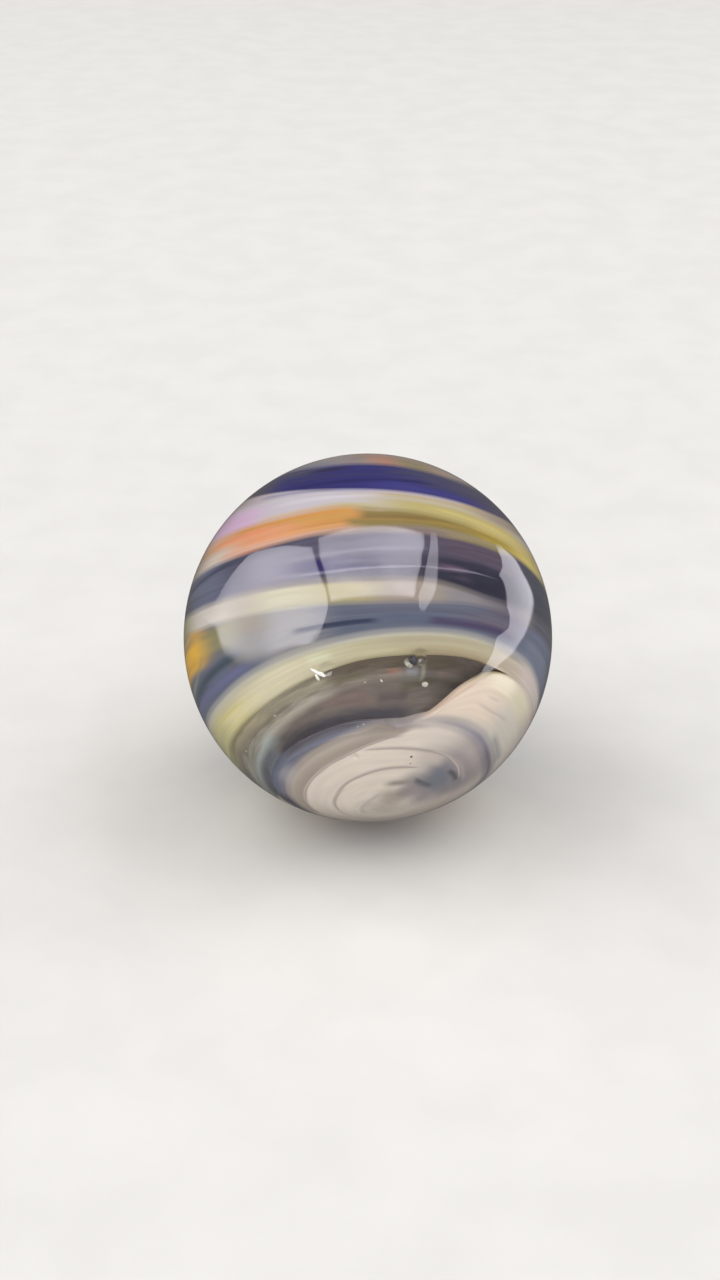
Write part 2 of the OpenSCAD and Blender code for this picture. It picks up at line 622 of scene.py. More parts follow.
def linear(tint: str) -> tuple[float, float, float, float]:
    """A tint as the renderer takes it, straightened from the curve of a colour chart.

    Args:
        tint: the tint, as #rrggbb.

    Returns:
        Its red, green and blue, and 1 for opaque.
    """
    parts = [int(tint[i : i + 2], 16) / 255 for i in (1, 3, 5)]
    red, green, blue = (p / 12.92 if p <= 0.04045 else ((p + 0.055) / 1.055) ** 2.4 for p in parts)
    return red, green, blue, 1.0


@dataclass(frozen=True)
class Overlay:
    """A field or a line laid over a glass's colour.

    Args:
        tint: its colour.
    """

    tint: str

    def values(self) -> dict[str, Value]:
        """Its own values, as its node group names them."""
        own = {key.title(): value for key, value in vars(self).items() if key != "stations"}
        return own | {"Tint": linear(self.tint)}


@dataclass(frozen=True)
class Patch(Overlay):
    """A soft field of another colour in a ribbon.

    Args:
        turn: the turn at its middle.
        spread: how far it reaches to either side.
        soft: how gently it fades along the ribbon.
        low: where it starts across the ribbon.
        high: where it ends across the ribbon.
        feather: how gently it fades across the ribbon.
        share: how much of its colour shows.
    """

    turn: float
    spread: float
    soft: float = 8.0
    low: float = -1.0
    high: float = 2.0
    feather: float = 0.25
    share: float = 1.0


@dataclass(frozen=True)
class Vein(Overlay):
    """A soft line of another colour that follows a course of its own.

    Args:
        stations: pairs of turn, from -90 to 270, and angle, in the order of their turns.
        below: how far it spreads towards the swirl's lower end.
        above: how far it spreads towards the upper end.
        fade: how gently it ends.
        share: how much of its colour shows.
    """

    stations: Stations
    below: float = 1.0
    above: float = 1.0
    fade: float = 8.0
    share: float = 1.0

    def course(self, w: Wiring, turn: Socket) -> Socket:
        """The angle of its middle at a turn.

        Args:
            w: the tree that works it out.
            turn: the turn.

        Returns:
            The angle, on a smooth curve through the stations.
        """
        made = w.node("FloatCurve", {"Value": w.math("MULTIPLY_ADD", turn, 1 / 360, 0.25)})
        curve = made.mapping.curves[0]
        spots = [((t + 90) / 360, a / 180) for t, a in self.stations]
        curve.points[0].location, curve.points[1].location = spots[0], spots[-1]
        for spot in spots[1:-1]:
            curve.points.new(*spot)
        for point in curve.points:
            point.handle_type = "AUTO_CLAMPED"
        made.mapping.update()
        return w.product(made.outputs[0], 180.0)


@dataclass(frozen=True)
class Beside:
    """The glass that a ribbon melts into at one of its edges.

    Args:
        finish: that glass.
        mark: the name of the mark that says how far a point lies from the edge.
        across: where the edge lies across the ribbon beside.
        soft: how far the two melt into each other to either side of the edge.
    """

    finish: RibbonFinish
    mark: str
    across: float
    soft: float


Melts = tuple[Beside, ...]


@dataclass(frozen=True)
class Finish:
    """The look of a piece.

    Args:
        name: the material's name.
        tint: its main colour.
    """

    name: str
    tint: str

    def material(self, effects: Effects | None = None, beside: Melts = ()) -> bpy.types.Material:
        """The finish as a material.

        Args:
            effects: the shared node groups.
            beside: the glass that it melts into.

        Returns:
            The new material.
        """
        made = bpy.data.materials.new(self.name)
        made.use_nodes = True
        w = Wiring(made.node_tree)
        w.node("OutputMaterial", {"Surface": self.shader(w, effects, beside)})
        return made

    def shader(self, w: Wiring, effects: Effects | None, beside: Melts) -> Socket:
        """How the surface takes the light."""
        raise NotImplementedError


@dataclass(frozen=True)
class RibbonFinish(Finish):
    """Opaque coloured glass, streaked along the ribbon.

    Args:
        patches: fields of other colours, later ones over earlier ones.
        veins: soft lines over them.
        dark: the colour of its darker streaks.
        streak: how strongly it is streaked.
        lines: how many streaks there are across it.
        length: how short the streaks are.
        drift: how far the fields wander across the ribbon.
        shiver: how far the veins waver with the streaks.
        seed: shifts its streaks.
    """

    patches: tuple[Patch, ...] = ()
    veins: tuple[Vein, ...] = ()
    dark: str = "#5a555a"
    streak: float = 0.22
    lines: float = 9.0
    length: float = 1.3
    drift: float = 0.12
    shiver: float = 0.8
    seed: float = 0.0
    WARM = (1.0, 0.98, 0.94, 1.0)
    RELIEF = {"Strength": 0.15, "Distance": 0.02 * MM}
    ROUGHNESS = (0.2, 0.35)

    def colours(self, effects: Effects) -> bpy.types.NodeTree:
        """The glass's colour as a node group, made once and shared with the ribbons beside it.

        Args:
            effects: the shared node groups.

        Returns:
            The group, which takes where a point lies and gives its colour and its streaks.
        """
        if self.name in effects.glasses:
            return effects.glasses[self.name]
        w = Effect(f"{self.name}_colours", ("Angle", "Turn", "Round", "Across"), ("Colour", "Streak"))
        angle, turn, run, across = w.given[:4]
        own = {"Length": self.length, "Lines": self.lines, "Seed": self.seed}
        streak, cloud = w.group(effects.streaks, Round=run, Across=across, **own)
        wander = w.math("MULTIPLY_ADD", cloud, self.drift, across)
        place = w.math("SUBTRACT", wander, self.drift / 2)
        colour: Value = linear(self.tint)
        for patch in self.patches:
            colour = w.group(effects.patch, Colour=colour, Round=run, Across=place, **patch.values())[0]
        shift = w.product(w.math("SUBTRACT", streak, 0.5), self.shiver)
        angle = w.math("ADD", angle, shift)
        for vein in self.veins:
            ends = {"Start": vein.stations[0][0], "Stop": vein.stations[-1][0], **vein.values()}
            course = vein.course(w, turn)
            colour = w.group(effects.vein, Colour=colour, Angle=angle, Turn=turn, Course=course, **ends)[0]
        colour = w.mix(w.product(streak, self.streak), colour, linear(self.dark))
        lift = w.product(w.rest(cloud), self.streak * 0.5)
        colour = w.mix(lift, colour, self.WARM, "SOFT_LIGHT")
        effects.glasses[self.name] = w.gives(Colour=colour, Streak=streak)
        return w.tree

    def shader(self, w: Wiring, effects: Effects | None, beside: Melts) -> Socket:
        """Glass that is satin under the clear skin, and melts into the glass beside it.

        Args:
            w: where its nodes go.
            effects: the shared node groups.
            beside: the glass that it melts into.

        Returns:
            The shader.
        """
        bearing = w.group(effects.bearing)
        where = {key: bearing[key] for key in ("Angle", "Turn", "Round")}
        colour, streak = w.group(self.colours(effects), Across=w.mark("across"), **where)
        for near in beside:
            other = w.group(near.finish.colours(effects), Across=near.across, **where)[0]
            away = w.ease(w.mark(near.mark), 0.0, near.soft)
            colour = w.mix(w.product(w.rest(away), 0.5), colour, other)
        bump = w.node("Bump", {**self.RELIEF, "Height": streak}).outputs[0]
        rough = w.math("MULTIPLY_ADD", streak, *self.ROUGHNESS)
        look = {"Base Color": colour, "Roughness": rough, "Normal": bump, "Specular IOR Level": 0.15}
        return w.node("BsdfPrincipled", look).outputs[0]


@dataclass(frozen=True)
class ClearGlass(Finish):
    """The clear glass of the ball, which lets the lamps' light pass straight to what lies in it.

    Args:
        bend: how strongly it bends light.
    """

    bend: float = 1.55

    def shader(self, w: Wiring, effects: Effects | None, beside: Melts) -> Socket:
        """Glass for the eye, and nothing for the light that falls on the ribbons.

        Args:
            w: where its nodes go.
            effects: the shared node groups.
            beside: the glass that it melts into.

        Returns:
            The shader.
        """
        look = {"Base Color": linear(self.tint), "Roughness": 0.0, "IOR": self.bend}
        glass = w.node("BsdfPrincipled", {**look, "Transmission Weight": 1.0}).outputs[0]
        clear = w.node("BsdfTransparent").outputs[0]
        ray = w.node("LightPath").outputs
        return w.choose(ray["Is Shadow Ray"], w.choose(ray["Is Diffuse Ray"], glass, clear), clear)


@dataclass(frozen=True)
class BeadFinish(Finish):
    """A seed bubble's pearly look with painted highlight in its pale clouds, a painted glint of light off a
    chipped edge, or a dark speck.

    Args:
        pale: the colour of its paler clouds, which are painted highlight on a seed bubble and painted glint
            at a chipped edge.
        rough: its roughness.
    """

    pale: str
    rough: float = 0.25
    GRAIN = 9000.0

    def shader(self, w: Wiring, effects: Effects | None, beside: Melts) -> Socket:
        """A clouded colour.

        Args:
            w: where its nodes go.
            effects: the shared node groups.
            beside: the glass that it melts into.

        Returns:
            The shader.
        """
        cloud = w.clouds(self.GRAIN)
        colour = w.mix(w.ease(cloud, 0.35, 0.7), linear(self.tint), linear(self.pale))
        rough = w.math("MULTIPLY_ADD", cloud, 0.2, self.rough)
        return w.node("BsdfPrincipled", {"Base Color": colour, "Roughness": rough}).outputs[0]


@dataclass(frozen=True)
class LitCloth(Finish):
    """Glowing cloth, a little uneven, that lets the room show where it fades.

    Args:
        shine: how bright it shows.
    """

    shine: float
    GRAIN = 5.0

    def shader(self, w: Wiring, effects: Effects | None, beside: Melts) -> Socket:
        """A glow that fades with the cloth's own mark.

        Args:
            w: where its nodes go.
            effects: the shared node groups.
            beside: the glass that it melts into.

        Returns:
            The shader.
        """
        cloud = w.ease(w.clouds(self.GRAIN), 0.3, 0.7)
        uneven = w.math("MULTIPLY_ADD", cloud, 0.4 * self.shine, 0.8 * self.shine)
        glow = w.node("Emission", {"Color": linear(self.tint), "Strength": uneven}).outputs[0]
        return w.choose(w.mark("glow"), w.node("BsdfTransparent").outputs[0], glow)


@dataclass(frozen=True)
class PaleCard(Finish):
    """Matt pale card with the faintest mottle."""

    GRAIN, DARKER = 260.0, 0.96

    def shader(self, w: Wiring, effects: Effects | None, beside: Melts) -> Socket:
        """A colour and a slightly darker one in soft clouds.

        Args:
            w: where its nodes go.
            effects: the shared node groups.
            beside: the glass that it melts into.

        Returns:
            The shader.
        """
        tint = linear(self.tint)
        darker = (*(v * self.DARKER for v in tint[:3]), 1.0)
        colour = w.mix(w.ease(w.clouds(self.GRAIN, 3.0), 0.3, 0.7), tint, darker)
        look = {"Base Color": colour, "Roughness": 0.85, "Specular IOR Level": 0.0}
        return w.node("BsdfPrincipled", look).outputs[0]


# ---- the pieces


@dataclass
class Part:
    """One piece of the marble.

    Args:
        name: the piece's name.
        finish: its look.
    """

    name: str
    finish: Finish

    def build(self, ball: Ball) -> bpy.types.Object:
        """Makes the piece's mesh in the ball."""
        raise NotImplementedError

    def piece(
        self, points: np.ndarray, faces: Faces, hard: float = 180, **marks: np.ndarray
    ) -> bpy.types.Object:
        """The piece from its points and faces, riding on the marble's body.

        Args:
            points: its points.
            faces: its faces.
            hard: the angle above which an edge stays hard.
            marks: numbers for each point, for its material to read.

        Returns:
            The new object.
        """
        mesh = mesh_of(self.name, points, faces, marks)
        form = bmesh.new()
        form.from_mesh(mesh)
        bmesh.ops.delete(form, geom=[v for v in form.verts if not v.link_faces], context="VERTS")
        bmesh.ops.recalc_face_normals(form, faces=form.faces)
        form.to_mesh(mesh)
        form.free()
        piece = add(self.name, mesh)
        mesh.set_sharp_from_angle(angle=math.radians(hard))
        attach(piece, BODY)
        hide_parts(NODE)
        return piece

    def beside(self) -> Melts:
        """The glass that the piece melts into."""
        return ()

    def dress(self, piece: bpy.types.Object, effects: Effects) -> None:
        """Gives the piece its finish."""
        piece.data.materials.append(self.finish.material(effects, self.beside()))


@dataclass
class Ribbon(Part):
    """One ribbon of coloured glass, as a thick band under the clear skin.

    Args:
        low: its lower edge, or None where it closes over the swirl's lower end.
        high: its upper edge, or None where it closes over the upper end.
        below: the glass beyond its lower edge.
        above: the glass beyond its upper edge.
        span: the turns where it starts and stops, or None where it runs all the way round.
        thickness: how deep it reaches.
        corner: how far a rounded edge is rounded over.
        feather: how wide a thinned edge is.
        rounds: how many sections it is made of.
        rows: how many rows of faces its outer side has.
    """

    low: Edge | None
    high: Edge | None
    below: RibbonFinish | None = None
    above: RibbonFinish | None = None
    span: tuple[float, float] | None = None
    thickness: float = 1.0 * MM
    corner: float = 0.2 * MM
    feather: float = 0.6 * MM
    rounds: int = 360
    rows: int = 22

    def _section(self) -> tuple[np.ndarray, np.ndarray]:
        """The way round a section: places across it, and how deep each lies, 0 outside and 1 inside.

        Returns:
            Places, and depths.
        """
        steps = np.arange(self.rows + 1) / self.rows
        out = 0.5 * steps + 0.25 - 0.25 * np.cos(math.pi * steps)
        back = np.arange(self.rows // 3, -1, -1) / (self.rows // 3)
        wall = np.array([0.25, 0.5, 0.75])
        across = [out, np.ones(3), back]
        depth = [np.zeros(len(out)), wall, np.ones(len(back))]
        if self.high is None:
            across = [1 - a for a in across]
        elif self.low is not None:
            across.append(np.zeros(3))
            depth.append(wall[::-1])
        return np.concatenate(across), np.concatenate(depth)

    def _sunk(self, off: np.ndarray, edge: Edge | None, free: np.ndarray) -> np.ndarray:
        """How far the outer side sinks near an edge.

        Args:
            off: the distance from the edge.
            edge: the edge.
            free: how far the window is open beside each section.

        Returns:
            Depths.
        """
        if edge is None or edge.rim is Rim.BUTT:
            return np.zeros_like(off)
        if edge.rim is Rim.ROUND:
            short = np.clip(self.corner - off, 0, self.corner)
            return free * (self.corner - np.sqrt(self.corner**2 - short**2))
        return free * 0.8 * self.thickness * (1 - smooth_step(0, self.feather, off))

    @staticmethod
    def _run(edge: Edge | None, turns: np.ndarray, end: float) -> tuple[np.ndarray, np.ndarray]:
        """An edge's angles, and how far the window is open beside it, one row for each section.

        Args:
            edge: the edge, or None at a domed end.
            turns: the sections' turns.
            end: the domed end's angle.

        Returns:
            Angles, and shares from 0 to 1.
        """
        if edge is None:
            return np.full((len(turns), 1), end), np.zeros((len(turns), 1))
        return edge.angle(turns)[:, None], edge.free(turns)[:, None]

    def build(self, ball: Ball) -> bpy.types.Object:
        """Makes the ribbon.

        Args:
            ball: the ball that it lies in.

        Returns:
            The new piece.
        """
        across, deep = self._section()
        first, last = self.span or (0.0, 360.0)
        turns = np.linspace(first, last, self.rounds, endpoint=self.span is not None)
        low, low_free = self._run(self.low, turns, 0.0)
        high, high_free = self._run(self.high, turns, 180.0)
        wide = np.maximum(high - low, 0.02)
        place, turn = np.meshgrid(across, turns)
        far = np.radians(wide) * ball.radius
        sunk = self._sunk(place * far, self.low, low_free)
        sunk = sunk + self._sunk((1 - place) * far, self.high, high_free)
        depth = sunk + deep * np.maximum(self.thickness - sunk, 0.02 * MM)
        way = ball.swirl.way(low + place * wide, turn)
        points = way * ball.under(way, depth)[..., None]
        domed = self.low is None or self.high is None
        faces = wrap_faces(len(turns), len(across), self.span is None, domed)
        over_low = place * wide + 10 * low_free
        under_high = (1 - place) * wide + 10 * high_free
        return self.piece(points, faces, HARD_EDGE, across=place, over_low=over_low, under_high=under_high)

    def beside(self) -> Melts:
        """The glass that the ribbon melts into at each edge."""
        edges = ((self.below, "over_low", 1.0, self.low), (self.above, "under_high", 0.0, self.high))
        return tuple(Beside(glass, mark, across, edge.soft) for glass, mark, across, edge in edges if glass)


@dataclass
class SmokyBody(Part):
    """The smoky body under the ribbons, sunk and folded where the window shows it.

    Args:
        low: the window's lower edge.
        high: the window's upper edge.
        veil: the course of the pale veil's middle.
        veil_width: how wide the veil is to either side.
        depth: how deep it lies under the ribbons.
        sink: how much deeper it lies in the window's middle.
        fold: how far the veil stands up in it.
        rounds: how many sections it is made of.
        rows: how many points each section has.
    """

    low: Edge
    high: Edge
    veil: Course
    veil_width: float = 3.0
    depth: float = 1.25 * MM
    sink: float = 0.45 * MM
    fold: float = 0.3 * MM
    rounds: int = 360
    rows: int = 181
    RIPPLE = 0.06 * MM

    def build(self, ball: Ball) -> bpy.types.Object:
        """Makes the body.

        Args:
            ball: the ball that it lies in.

        Returns:
            The new piece.
        """
        turns = np.arange(self.rounds) * 360 / self.rounds
        angle, turn = np.meshgrid(np.linspace(0, 180, self.rows), turns)
        low = self.low.angle(turn)
        across = (angle - low) / np.maximum(self.high.angle(turn) - low, 1.0)
        bowl = smooth_step(-0.35, 0.35, across) * (1 - smooth_step(0.65, 1.35, across))
        veil = (angle - self.veil.angle(turn)) / self.veil_width
        ripple = self.RIPPLE * np.sin(np.radians(angle * 31 + 40 * np.sin(np.radians(turn * 3))))
        sunk = self.high.free(turn) * bowl * (self.sink + ripple - self.fold * np.exp(-(veil**2)))
        points = ball.swirl.way(angle, turn) * (ball.radius - (self.depth + sunk))[..., None]
        faces = wrap_faces(self.rounds, self.rows, True, True)
        return self.piece(points, faces, HARD_EDGE, across=np.clip(across, -1, 2))


@dataclass
class Thread(Part):
    """A thin line of dark glass that lies in the white swirl, just under the clear skin.

    Args:
        stations: pairs of turn and angle along it.
        width: its width at its middle.
        rounds: how many sections it is made of.
        sides: how many sides a section has.
    """

    stations: Stations
    width: float = 0.11 * MM
    rounds: int = 240
    sides: int = 10
    SMOOTHINGS, TAPER, THINNEST, FLATNESS = 30, 5, 0.004, 0.3

    def build(self, ball: Ball) -> bpy.types.Object:
        """Makes the thread, a flat tube that thins out at both ends.

        Args:
            ball: the ball that it lies in.

        Returns:
            The new piece.
        """
        along = np.linspace(0, 1, self.rounds)
        knots = np.linspace(0, 1, len(self.stations))
        turns, angles = (np.interp(along, knots, np.array(v, float)) for v in zip(*self.stations))
        for line in (turns, angles) * self.SMOOTHINGS:
            line[1:-1] = (line[:-2] + 2 * line[1:-1] + line[2:]) / 4
        way = ball.swirl.way(angles, turns)
        aside = np.cross(way, unit(np.gradient(way, axis=0)))
        thick = np.sqrt(np.clip(np.minimum(along, 1 - along) * self.TAPER, self.THINNEST, 1))[:, None, None]
        spin = np.linspace(0, 2 * math.pi, self.sides, endpoint=False)[None, :, None]
        middle = way * (ball.radius - ball.skin)
        half = self.width / 2 * thick
        flat = self.FLATNESS * np.sin(spin) * way[:, None]
        points = middle[:, None] + half * (np.cos(spin) * aside[:, None] + flat)
        across = np.broadcast_to(np.cos(spin) / 2 + 0.5, points.shape[:2] + (1,))
        return self.piece(points, wrap_faces(self.rounds, self.sides, False), across=across)


@dataclass(frozen=True)
class Bead:
    """A seed bubble, a speck or a white bead that paints the glint of a chipped edge, as a small egg under
    the surface.

    Args:
        angle: its angle.
        turn: its turn.
        long: its length in millimetres.
        wide: its width in millimetres.
        slant: the way its length runs, from along the ribbon.
        depth: how deep its middle lies, in millimetres.
    """

    angle: float
    turn: float
    long: float
    wide: float
    slant: float = 0.0
    depth: float = 0.3

    def points(self, ball: Ball, rounds: int, rows: int) -> np.ndarray:
        """Its points in sections from tip to tip.

        Args:
            ball: the ball that it lies in.
            rounds: how many sections there are.
            rows: how many points each has.

        Returns:
            A point in each row.
        """
        way = ball.swirl.way(self.angle, self.turn)
        ahead = unit(np.cross(ball.swirl.matrix()[:, 2], way))
        aside = np.cross(way, ahead)
        s = math.radians(self.slant)
        run, side = math.cos(s) * ahead + math.sin(s) * aside, math.cos(s) * aside - math.sin(s) * ahead
        spins = np.linspace(0, 2 * math.pi, rounds, endpoint=False)
        up, spin = np.meshgrid(np.linspace(0, math.pi, rows), spins)
        x = self.long * MM / 2 * np.cos(up)[..., None] * run
        y = self.wide * MM / 2 * (np.sin(up) * np.cos(spin))[..., None] * side
        z = self.wide * MM / 2 * (np.sin(up) * np.sin(spin))[..., None] * way
        return (way * (ball.radius - self.depth * MM) + x + y + z).reshape(-1, 3)


@dataclass
class BeadSet(Part):
    """Beads of one finish, kept as one piece.

    Args:
        beads: the beads.
        rounds: how many sections each is made of.
        rows: how many points each section has.
    """

    beads: tuple[Bead, ...]
    rounds: int = 16
    rows: int = 9

    def build(self, ball: Ball) -> bpy.types.Object:
        """Makes the beads.

        Args:
            ball: the ball that they lie in.

        Returns:
            The new piece.
        """
        points = np.concatenate([bead.points(ball, self.rounds, self.rows) for bead in self.beads])
        sides = wrap_faces(self.rounds, self.rows, True, True)
        starts = range(0, len(points), self.rounds * self.rows)
        return self.piece(points, [tuple(i + start for i in side) for start in starts for side in sides])


@dataclass
class OuterGlass(Part):
    """The clear glass over all, with the pits in its surface.

    Args:
        cells: how many faces lie along each side of the six fields that the ball is divided into.
        finer: how often the faces round a pit are divided again.
    """

    cells: int = 72
    finer: int = 3

    def _net(self) -> bmesh.types.BMesh:
        """An even net over the unit ball.

        Returns:
            The net.
        """
        form = bmesh.new()
        lines = np.tan(np.linspace(-math.pi / 4, math.pi / 4, self.cells + 1))
        steps = range(self.cells)
        for axis in range(3):
            for side in (-1, 1):
                spots = [[unit(np.roll(np.array([side, u, v * side]), axis)) for v in lines] for u in lines]
                net = [[form.verts.new(spot.tolist()) for spot in row] for row in spots]
                for i, j in ((i, j) for i in steps for j in steps):
                    form.faces.new((net[i][j], net[i + 1][j], net[i + 1][j + 1], net[i][j + 1]))
        bmesh.ops.remove_doubles(form, verts=form.verts, dist=1e-5)
        return form

    def build(self, ball: Ball) -> bpy.types.Object:
        """Makes the glass, whose net is finer round the pits and whose shading follows its exact surface.

        Args:
            ball: the ball's shape.

        Returns:
            The new piece.
        """
        form = self._net()
        for level in range(self.finer):
            near = set()
            for pit in ball.pits:
                middle = ball.swirl.way(pit.angle, pit.turn)
                reach = math.cos(pit.width * (1.5 - 0.3 * level) / ball.radius)
                for face in form.faces:
                    if np.dot(face.calc_center_median(), middle) > reach:
                        near.update(face.edges)
            bmesh.ops.subdivide_edges(form, edges=list(near), cuts=1, use_grid_fill=True)
            for vert in form.verts:
                vert.co.normalize()
        bmesh.ops.triangulate(form, faces=[f for f in form.faces if len(f.verts) > 4])
        form.verts.index_update()
        way = unit(np.array([v.co for v in form.verts], float))
        faces = [tuple(v.index for v in f.verts) for f in form.faces]
        form.free()
        piece = self.piece(way * ball.surface(way)[:, None], faces)
        piece.data.normals_split_custom_set_from_vertices(self._normals(ball, piece).tolist())
        return piece

    @staticmethod
    def _normals(ball: Ball, piece: bpy.types.Object, step: float = 2e-4) -> np.ndarray:
        """The exact surface's normals at the piece's points, from its slope over a short step.

        Args:
            ball: the ball's shape.
            piece: the piece.
            step: the step's length on the unit ball.

        Returns:
            A normal in each row.
        """
        way = unit(np.array([v.co for v in piece.data.vertices], float))
        helper = np.where(np.abs(way[:, 2:]) < 0.9, [[0.0, 0.0, 1.0]], [[1.0, 0.0, 0.0]])
        east = unit(np.cross(helper, way))
        north = np.cross(way, east)
        normal = way * ball.surface(way)[:, None]
        for side in (east, north):
            rise = ball.surface(unit(way + step * side)) - ball.surface(unit(way - step * side))
            normal = normal - side * (rise[:, None] / (2 * step))
        return unit(normal)


# ---- edges and glasses

WHITE_EDGE = Edge(
    ((0, 32.5), (20, 33.5), (40, 36.5), (60, 38.4), (72, 38.4), (84, 37.1), (96, 36.8), (110, 36),
     (130, 34), (150, 32), (180, 29.5), (220, 26), (270, 24.5), (320, 28)),
    soft=1.8,
)
BLUE_EDGE = Edge(
    ((0, 36), (20, 37.2), (40, 40), (60, 41), (70, 40.4), (76, 39.2), (82, 38), (90, 37.8), (110, 38.5),
     (130, 38), (150, 37.5), (180, 36.5), (220, 31), (270, 28.5), (320, 32)),
    rim=Rim.FEATHER, start=86, stop=205, soft=1.8,
)
WINDOW_EDGE = Edge(
    ((0, 55.5), (20, 57), (45, 58.6), (60, 59.4), (80, 58.9), (100, 58), (120, 55.5), (140, 53), (160, 52),
     (185, 52.3), (215, 51), (250, 51.5), (290, 54), (330, 56)),
    rim=Rim.ROUND, start=48, stop=246, soft=1.2,
)
PEACH_EDGE = Edge(
    ((0, 55.5), (20, 57), (40, 58.5), (47, 58.1), (50, 57.3), (54, 55.4), (57, 53.4), (62, 49.7), (66, 46),
     (70, 42.7), (74, 40.7), (78, 39), (82, 38.1), (88, 37.9), (120, 38), (160, 37.2), (195, 34.8),
     (205, 36), (215, 38.5), (230, 44), (245, 50.5), (255, 51.4), (290, 54), (330, 56)),
    rim=Rim.ROUND, start=40, stop=246, soft=1.2,
)
STRAW_EDGE = Edge(
    ((0, 59.5), (10, 61), (20, 62.7), (30, 64.5), (45, 65.6), (60, 66.4), (80, 66.2), (100, 65.5),
     (120, 64.5), (140, 63.4), (160, 62.6), (180, 64), (210, 68), (240, 70), (270, 70), (300, 67),
     (330, 62)),
    soft=1.4,
)
SLATE_EDGE = Edge(
    ((0, 77), (30, 75), (60, 75.2), (80, 74.2), (95, 74.5), (110, 76), (125, 78), (140, 80.8), (150, 83),
     (160, 85.7), (170, 89), (190, 91), (220, 92), (250, 92), (290, 89), (330, 82)),
)
CREAM_EDGE = Edge(
    ((0, 83), (30, 80), (60, 78.5), (70, 80), (78, 81), (88, 81.2), (96, 81.6), (110, 83), (125, 85),
     (140, 87.5), (150, 89.5), (160, 92), (170, 95), (190, 97.5), (220, 99), (250, 98.5), (290, 95),
     (330, 89)),
    soft=1.4,
)
SMOKE_EDGE = Edge(
    ((0, 95), (25, 94.5), (45, 96), (60, 97), (80, 98), (100, 98), (120, 98.4), (135, 99.8), (150, 102.5),
     (165, 105), (190, 106), (220, 105), (260, 103), (300, 100), (330, 97)),
    soft=1.1,
)
ORANGE_EDGE = Edge(
    ((0, 100), (30, 99), (50, 100.3), (65, 102), (80, 104), (90, 105), (100, 107), (110, 107.5),
     (120, 108.2), (130, 109.5), (140, 111.5), (150, 114), (165, 117.5), (190, 119), (220, 118), (260, 114),
     (300, 108), (330, 103)),
    soft=1.4,
)
MILK_EDGE = Edge(
    ((0, 112), (30, 113), (45, 111), (60, 111), (75, 112), (90, 113.6), (105, 116.2), (120, 120.5),
     (135, 126), (150, 132), (170, 137), (200, 138), (240, 134), (280, 126), (320, 117)),
    soft=0.8,
)
INDIGO_EDGE = Edge(
    ((0, 136), (30, 129), (50, 126), (70, 127), (80, 129), (90, 130.2), (100, 131.6), (110, 133.2),
     (120, 136), (135, 141), (150, 146), (180, 152), (220, 156), (260, 156), (300, 150), (330, 143)),
    soft=2.0,
)
WHITE = RibbonFinish(
    "white_swirl_glass", "#e1d6ca", streak=0.12, lines=14, drift=0.03, shiver=0.5, seed=3.1, patches=(
    # Painted shade: darker all round the swirl's lower end, which faces down.
    Patch("#bcb2a9", 0, 200, 8, -1, 0.2, 0.3),
    Patch("#c4bbb2", 5, 40, 35, 0.2, 1.2, 0.3),
    Patch("#aca298", 75, 26, 20, 0.12, 0.32, 0.16),
    Patch("#b6aca3", 285, 80, 40, 0.25, 1.2, 0.4),
    Patch("#969092", 34, 26, 18, 0.26, 0.84, 0.24),
    Patch("#767884", 40, 14, 10, 0.44, 0.7, 0.16),
    Patch("#76727a", 16, 12, 10, 0.5, 1.1, 0.2, 0.6),
    Patch("#968c90", 36, 14, 10, 0.76, 1.3, 0.14, 0.6),
    Patch("#7a7478", 62, 12, 10, 0.24, 0.54, 0.14, 0.6),
), veins=(
    Vein("#a3978c", ((76, 36.5), (92, 34), (110, 30.8), (130, 28.6), (160, 26), (190, 24),
         (215, 22)), 0.7, 11),
    Vein("#aa9d96", ((80, 35), (92, 33.8), (110, 30.6), (130, 28.3), (160, 25.6), (190, 23.8),
         (215, 22)), 1, 1.4),
    Vein("#ccc0b8", ((46, 26), (60, 27), (74, 28)), 3, 6, 12, 0.8),
    Vein("#aca29c", ((66, 37.8), (78, 37.4), (92, 36.6)), 1.6, 1.6, 10, 0.8),
    Vein("#b2a4a6", ((8, 25), (22, 26), (35, 28), (50, 29), (65, 29.6), (85, 30),
         (110, 30.2)), 1, 1.3, 16, 0.6),
    Vein("#c2b4ae", ((62, 22.9), (80, 22.7), (95, 22.2), (110, 21), (130, 19), (150, 16.8), (170, 15.4),
         (195, 13.6), (225, 12)), 0.9, 1.3, 14),
    Vein("#b8aea6", ((96, 12), (110, 9.5), (140, 7.5), (180, 7), (225, 7)), 2.2, 1.2, 20, 0.7),
    Vein("#8c867e", ((58, 17.4), (72, 16), (84, 15.4), (100, 15)), 2.4, 3, 18, 0.9),
    Vein("#62656c", ((34, 17), (44, 17), (52, 17.2), (66, 18.4)), 2.2, 1.5),
    Vein("#5c5b5d", ((19, 23.4), (26, 24), (33, 24.4), (42, 24.6)), 1.8, 1.6, 6),
))
BLUE = RibbonFinish("blue_line_glass", "#7a7682", streak=0.22, lines=4, seed=8.4, patches=(
    Patch("#706976", 12, 18),
    Patch("#888592", 35, 7, 7),
    Patch("#9e9aa4", 52, 10),
    Patch("#b2aaac", 75, 13, 12),
    Patch("#7b7470", 112, 32, 10, -1, 0.34, 0.6),
    Patch("#6c6f80", 130, 40, 14, 0.3, 0.7, 0.4),
    Patch("#646c80", 172, 22, 12, 0.4, 2, 0.3),
    Patch("#92909a", 161, 8, 7, -0.2, 0.5, 0.3),
    Patch("#423e48", 214, 24),
    Patch("#706c8c", 290, 54),
), veins=(
    Vein("#4e4c56", ((92, 40.6), (98, 40.2), (110, 39.6), (125, 39.2), (140, 38.6), (156, 38)), 3, 6, 12),
))
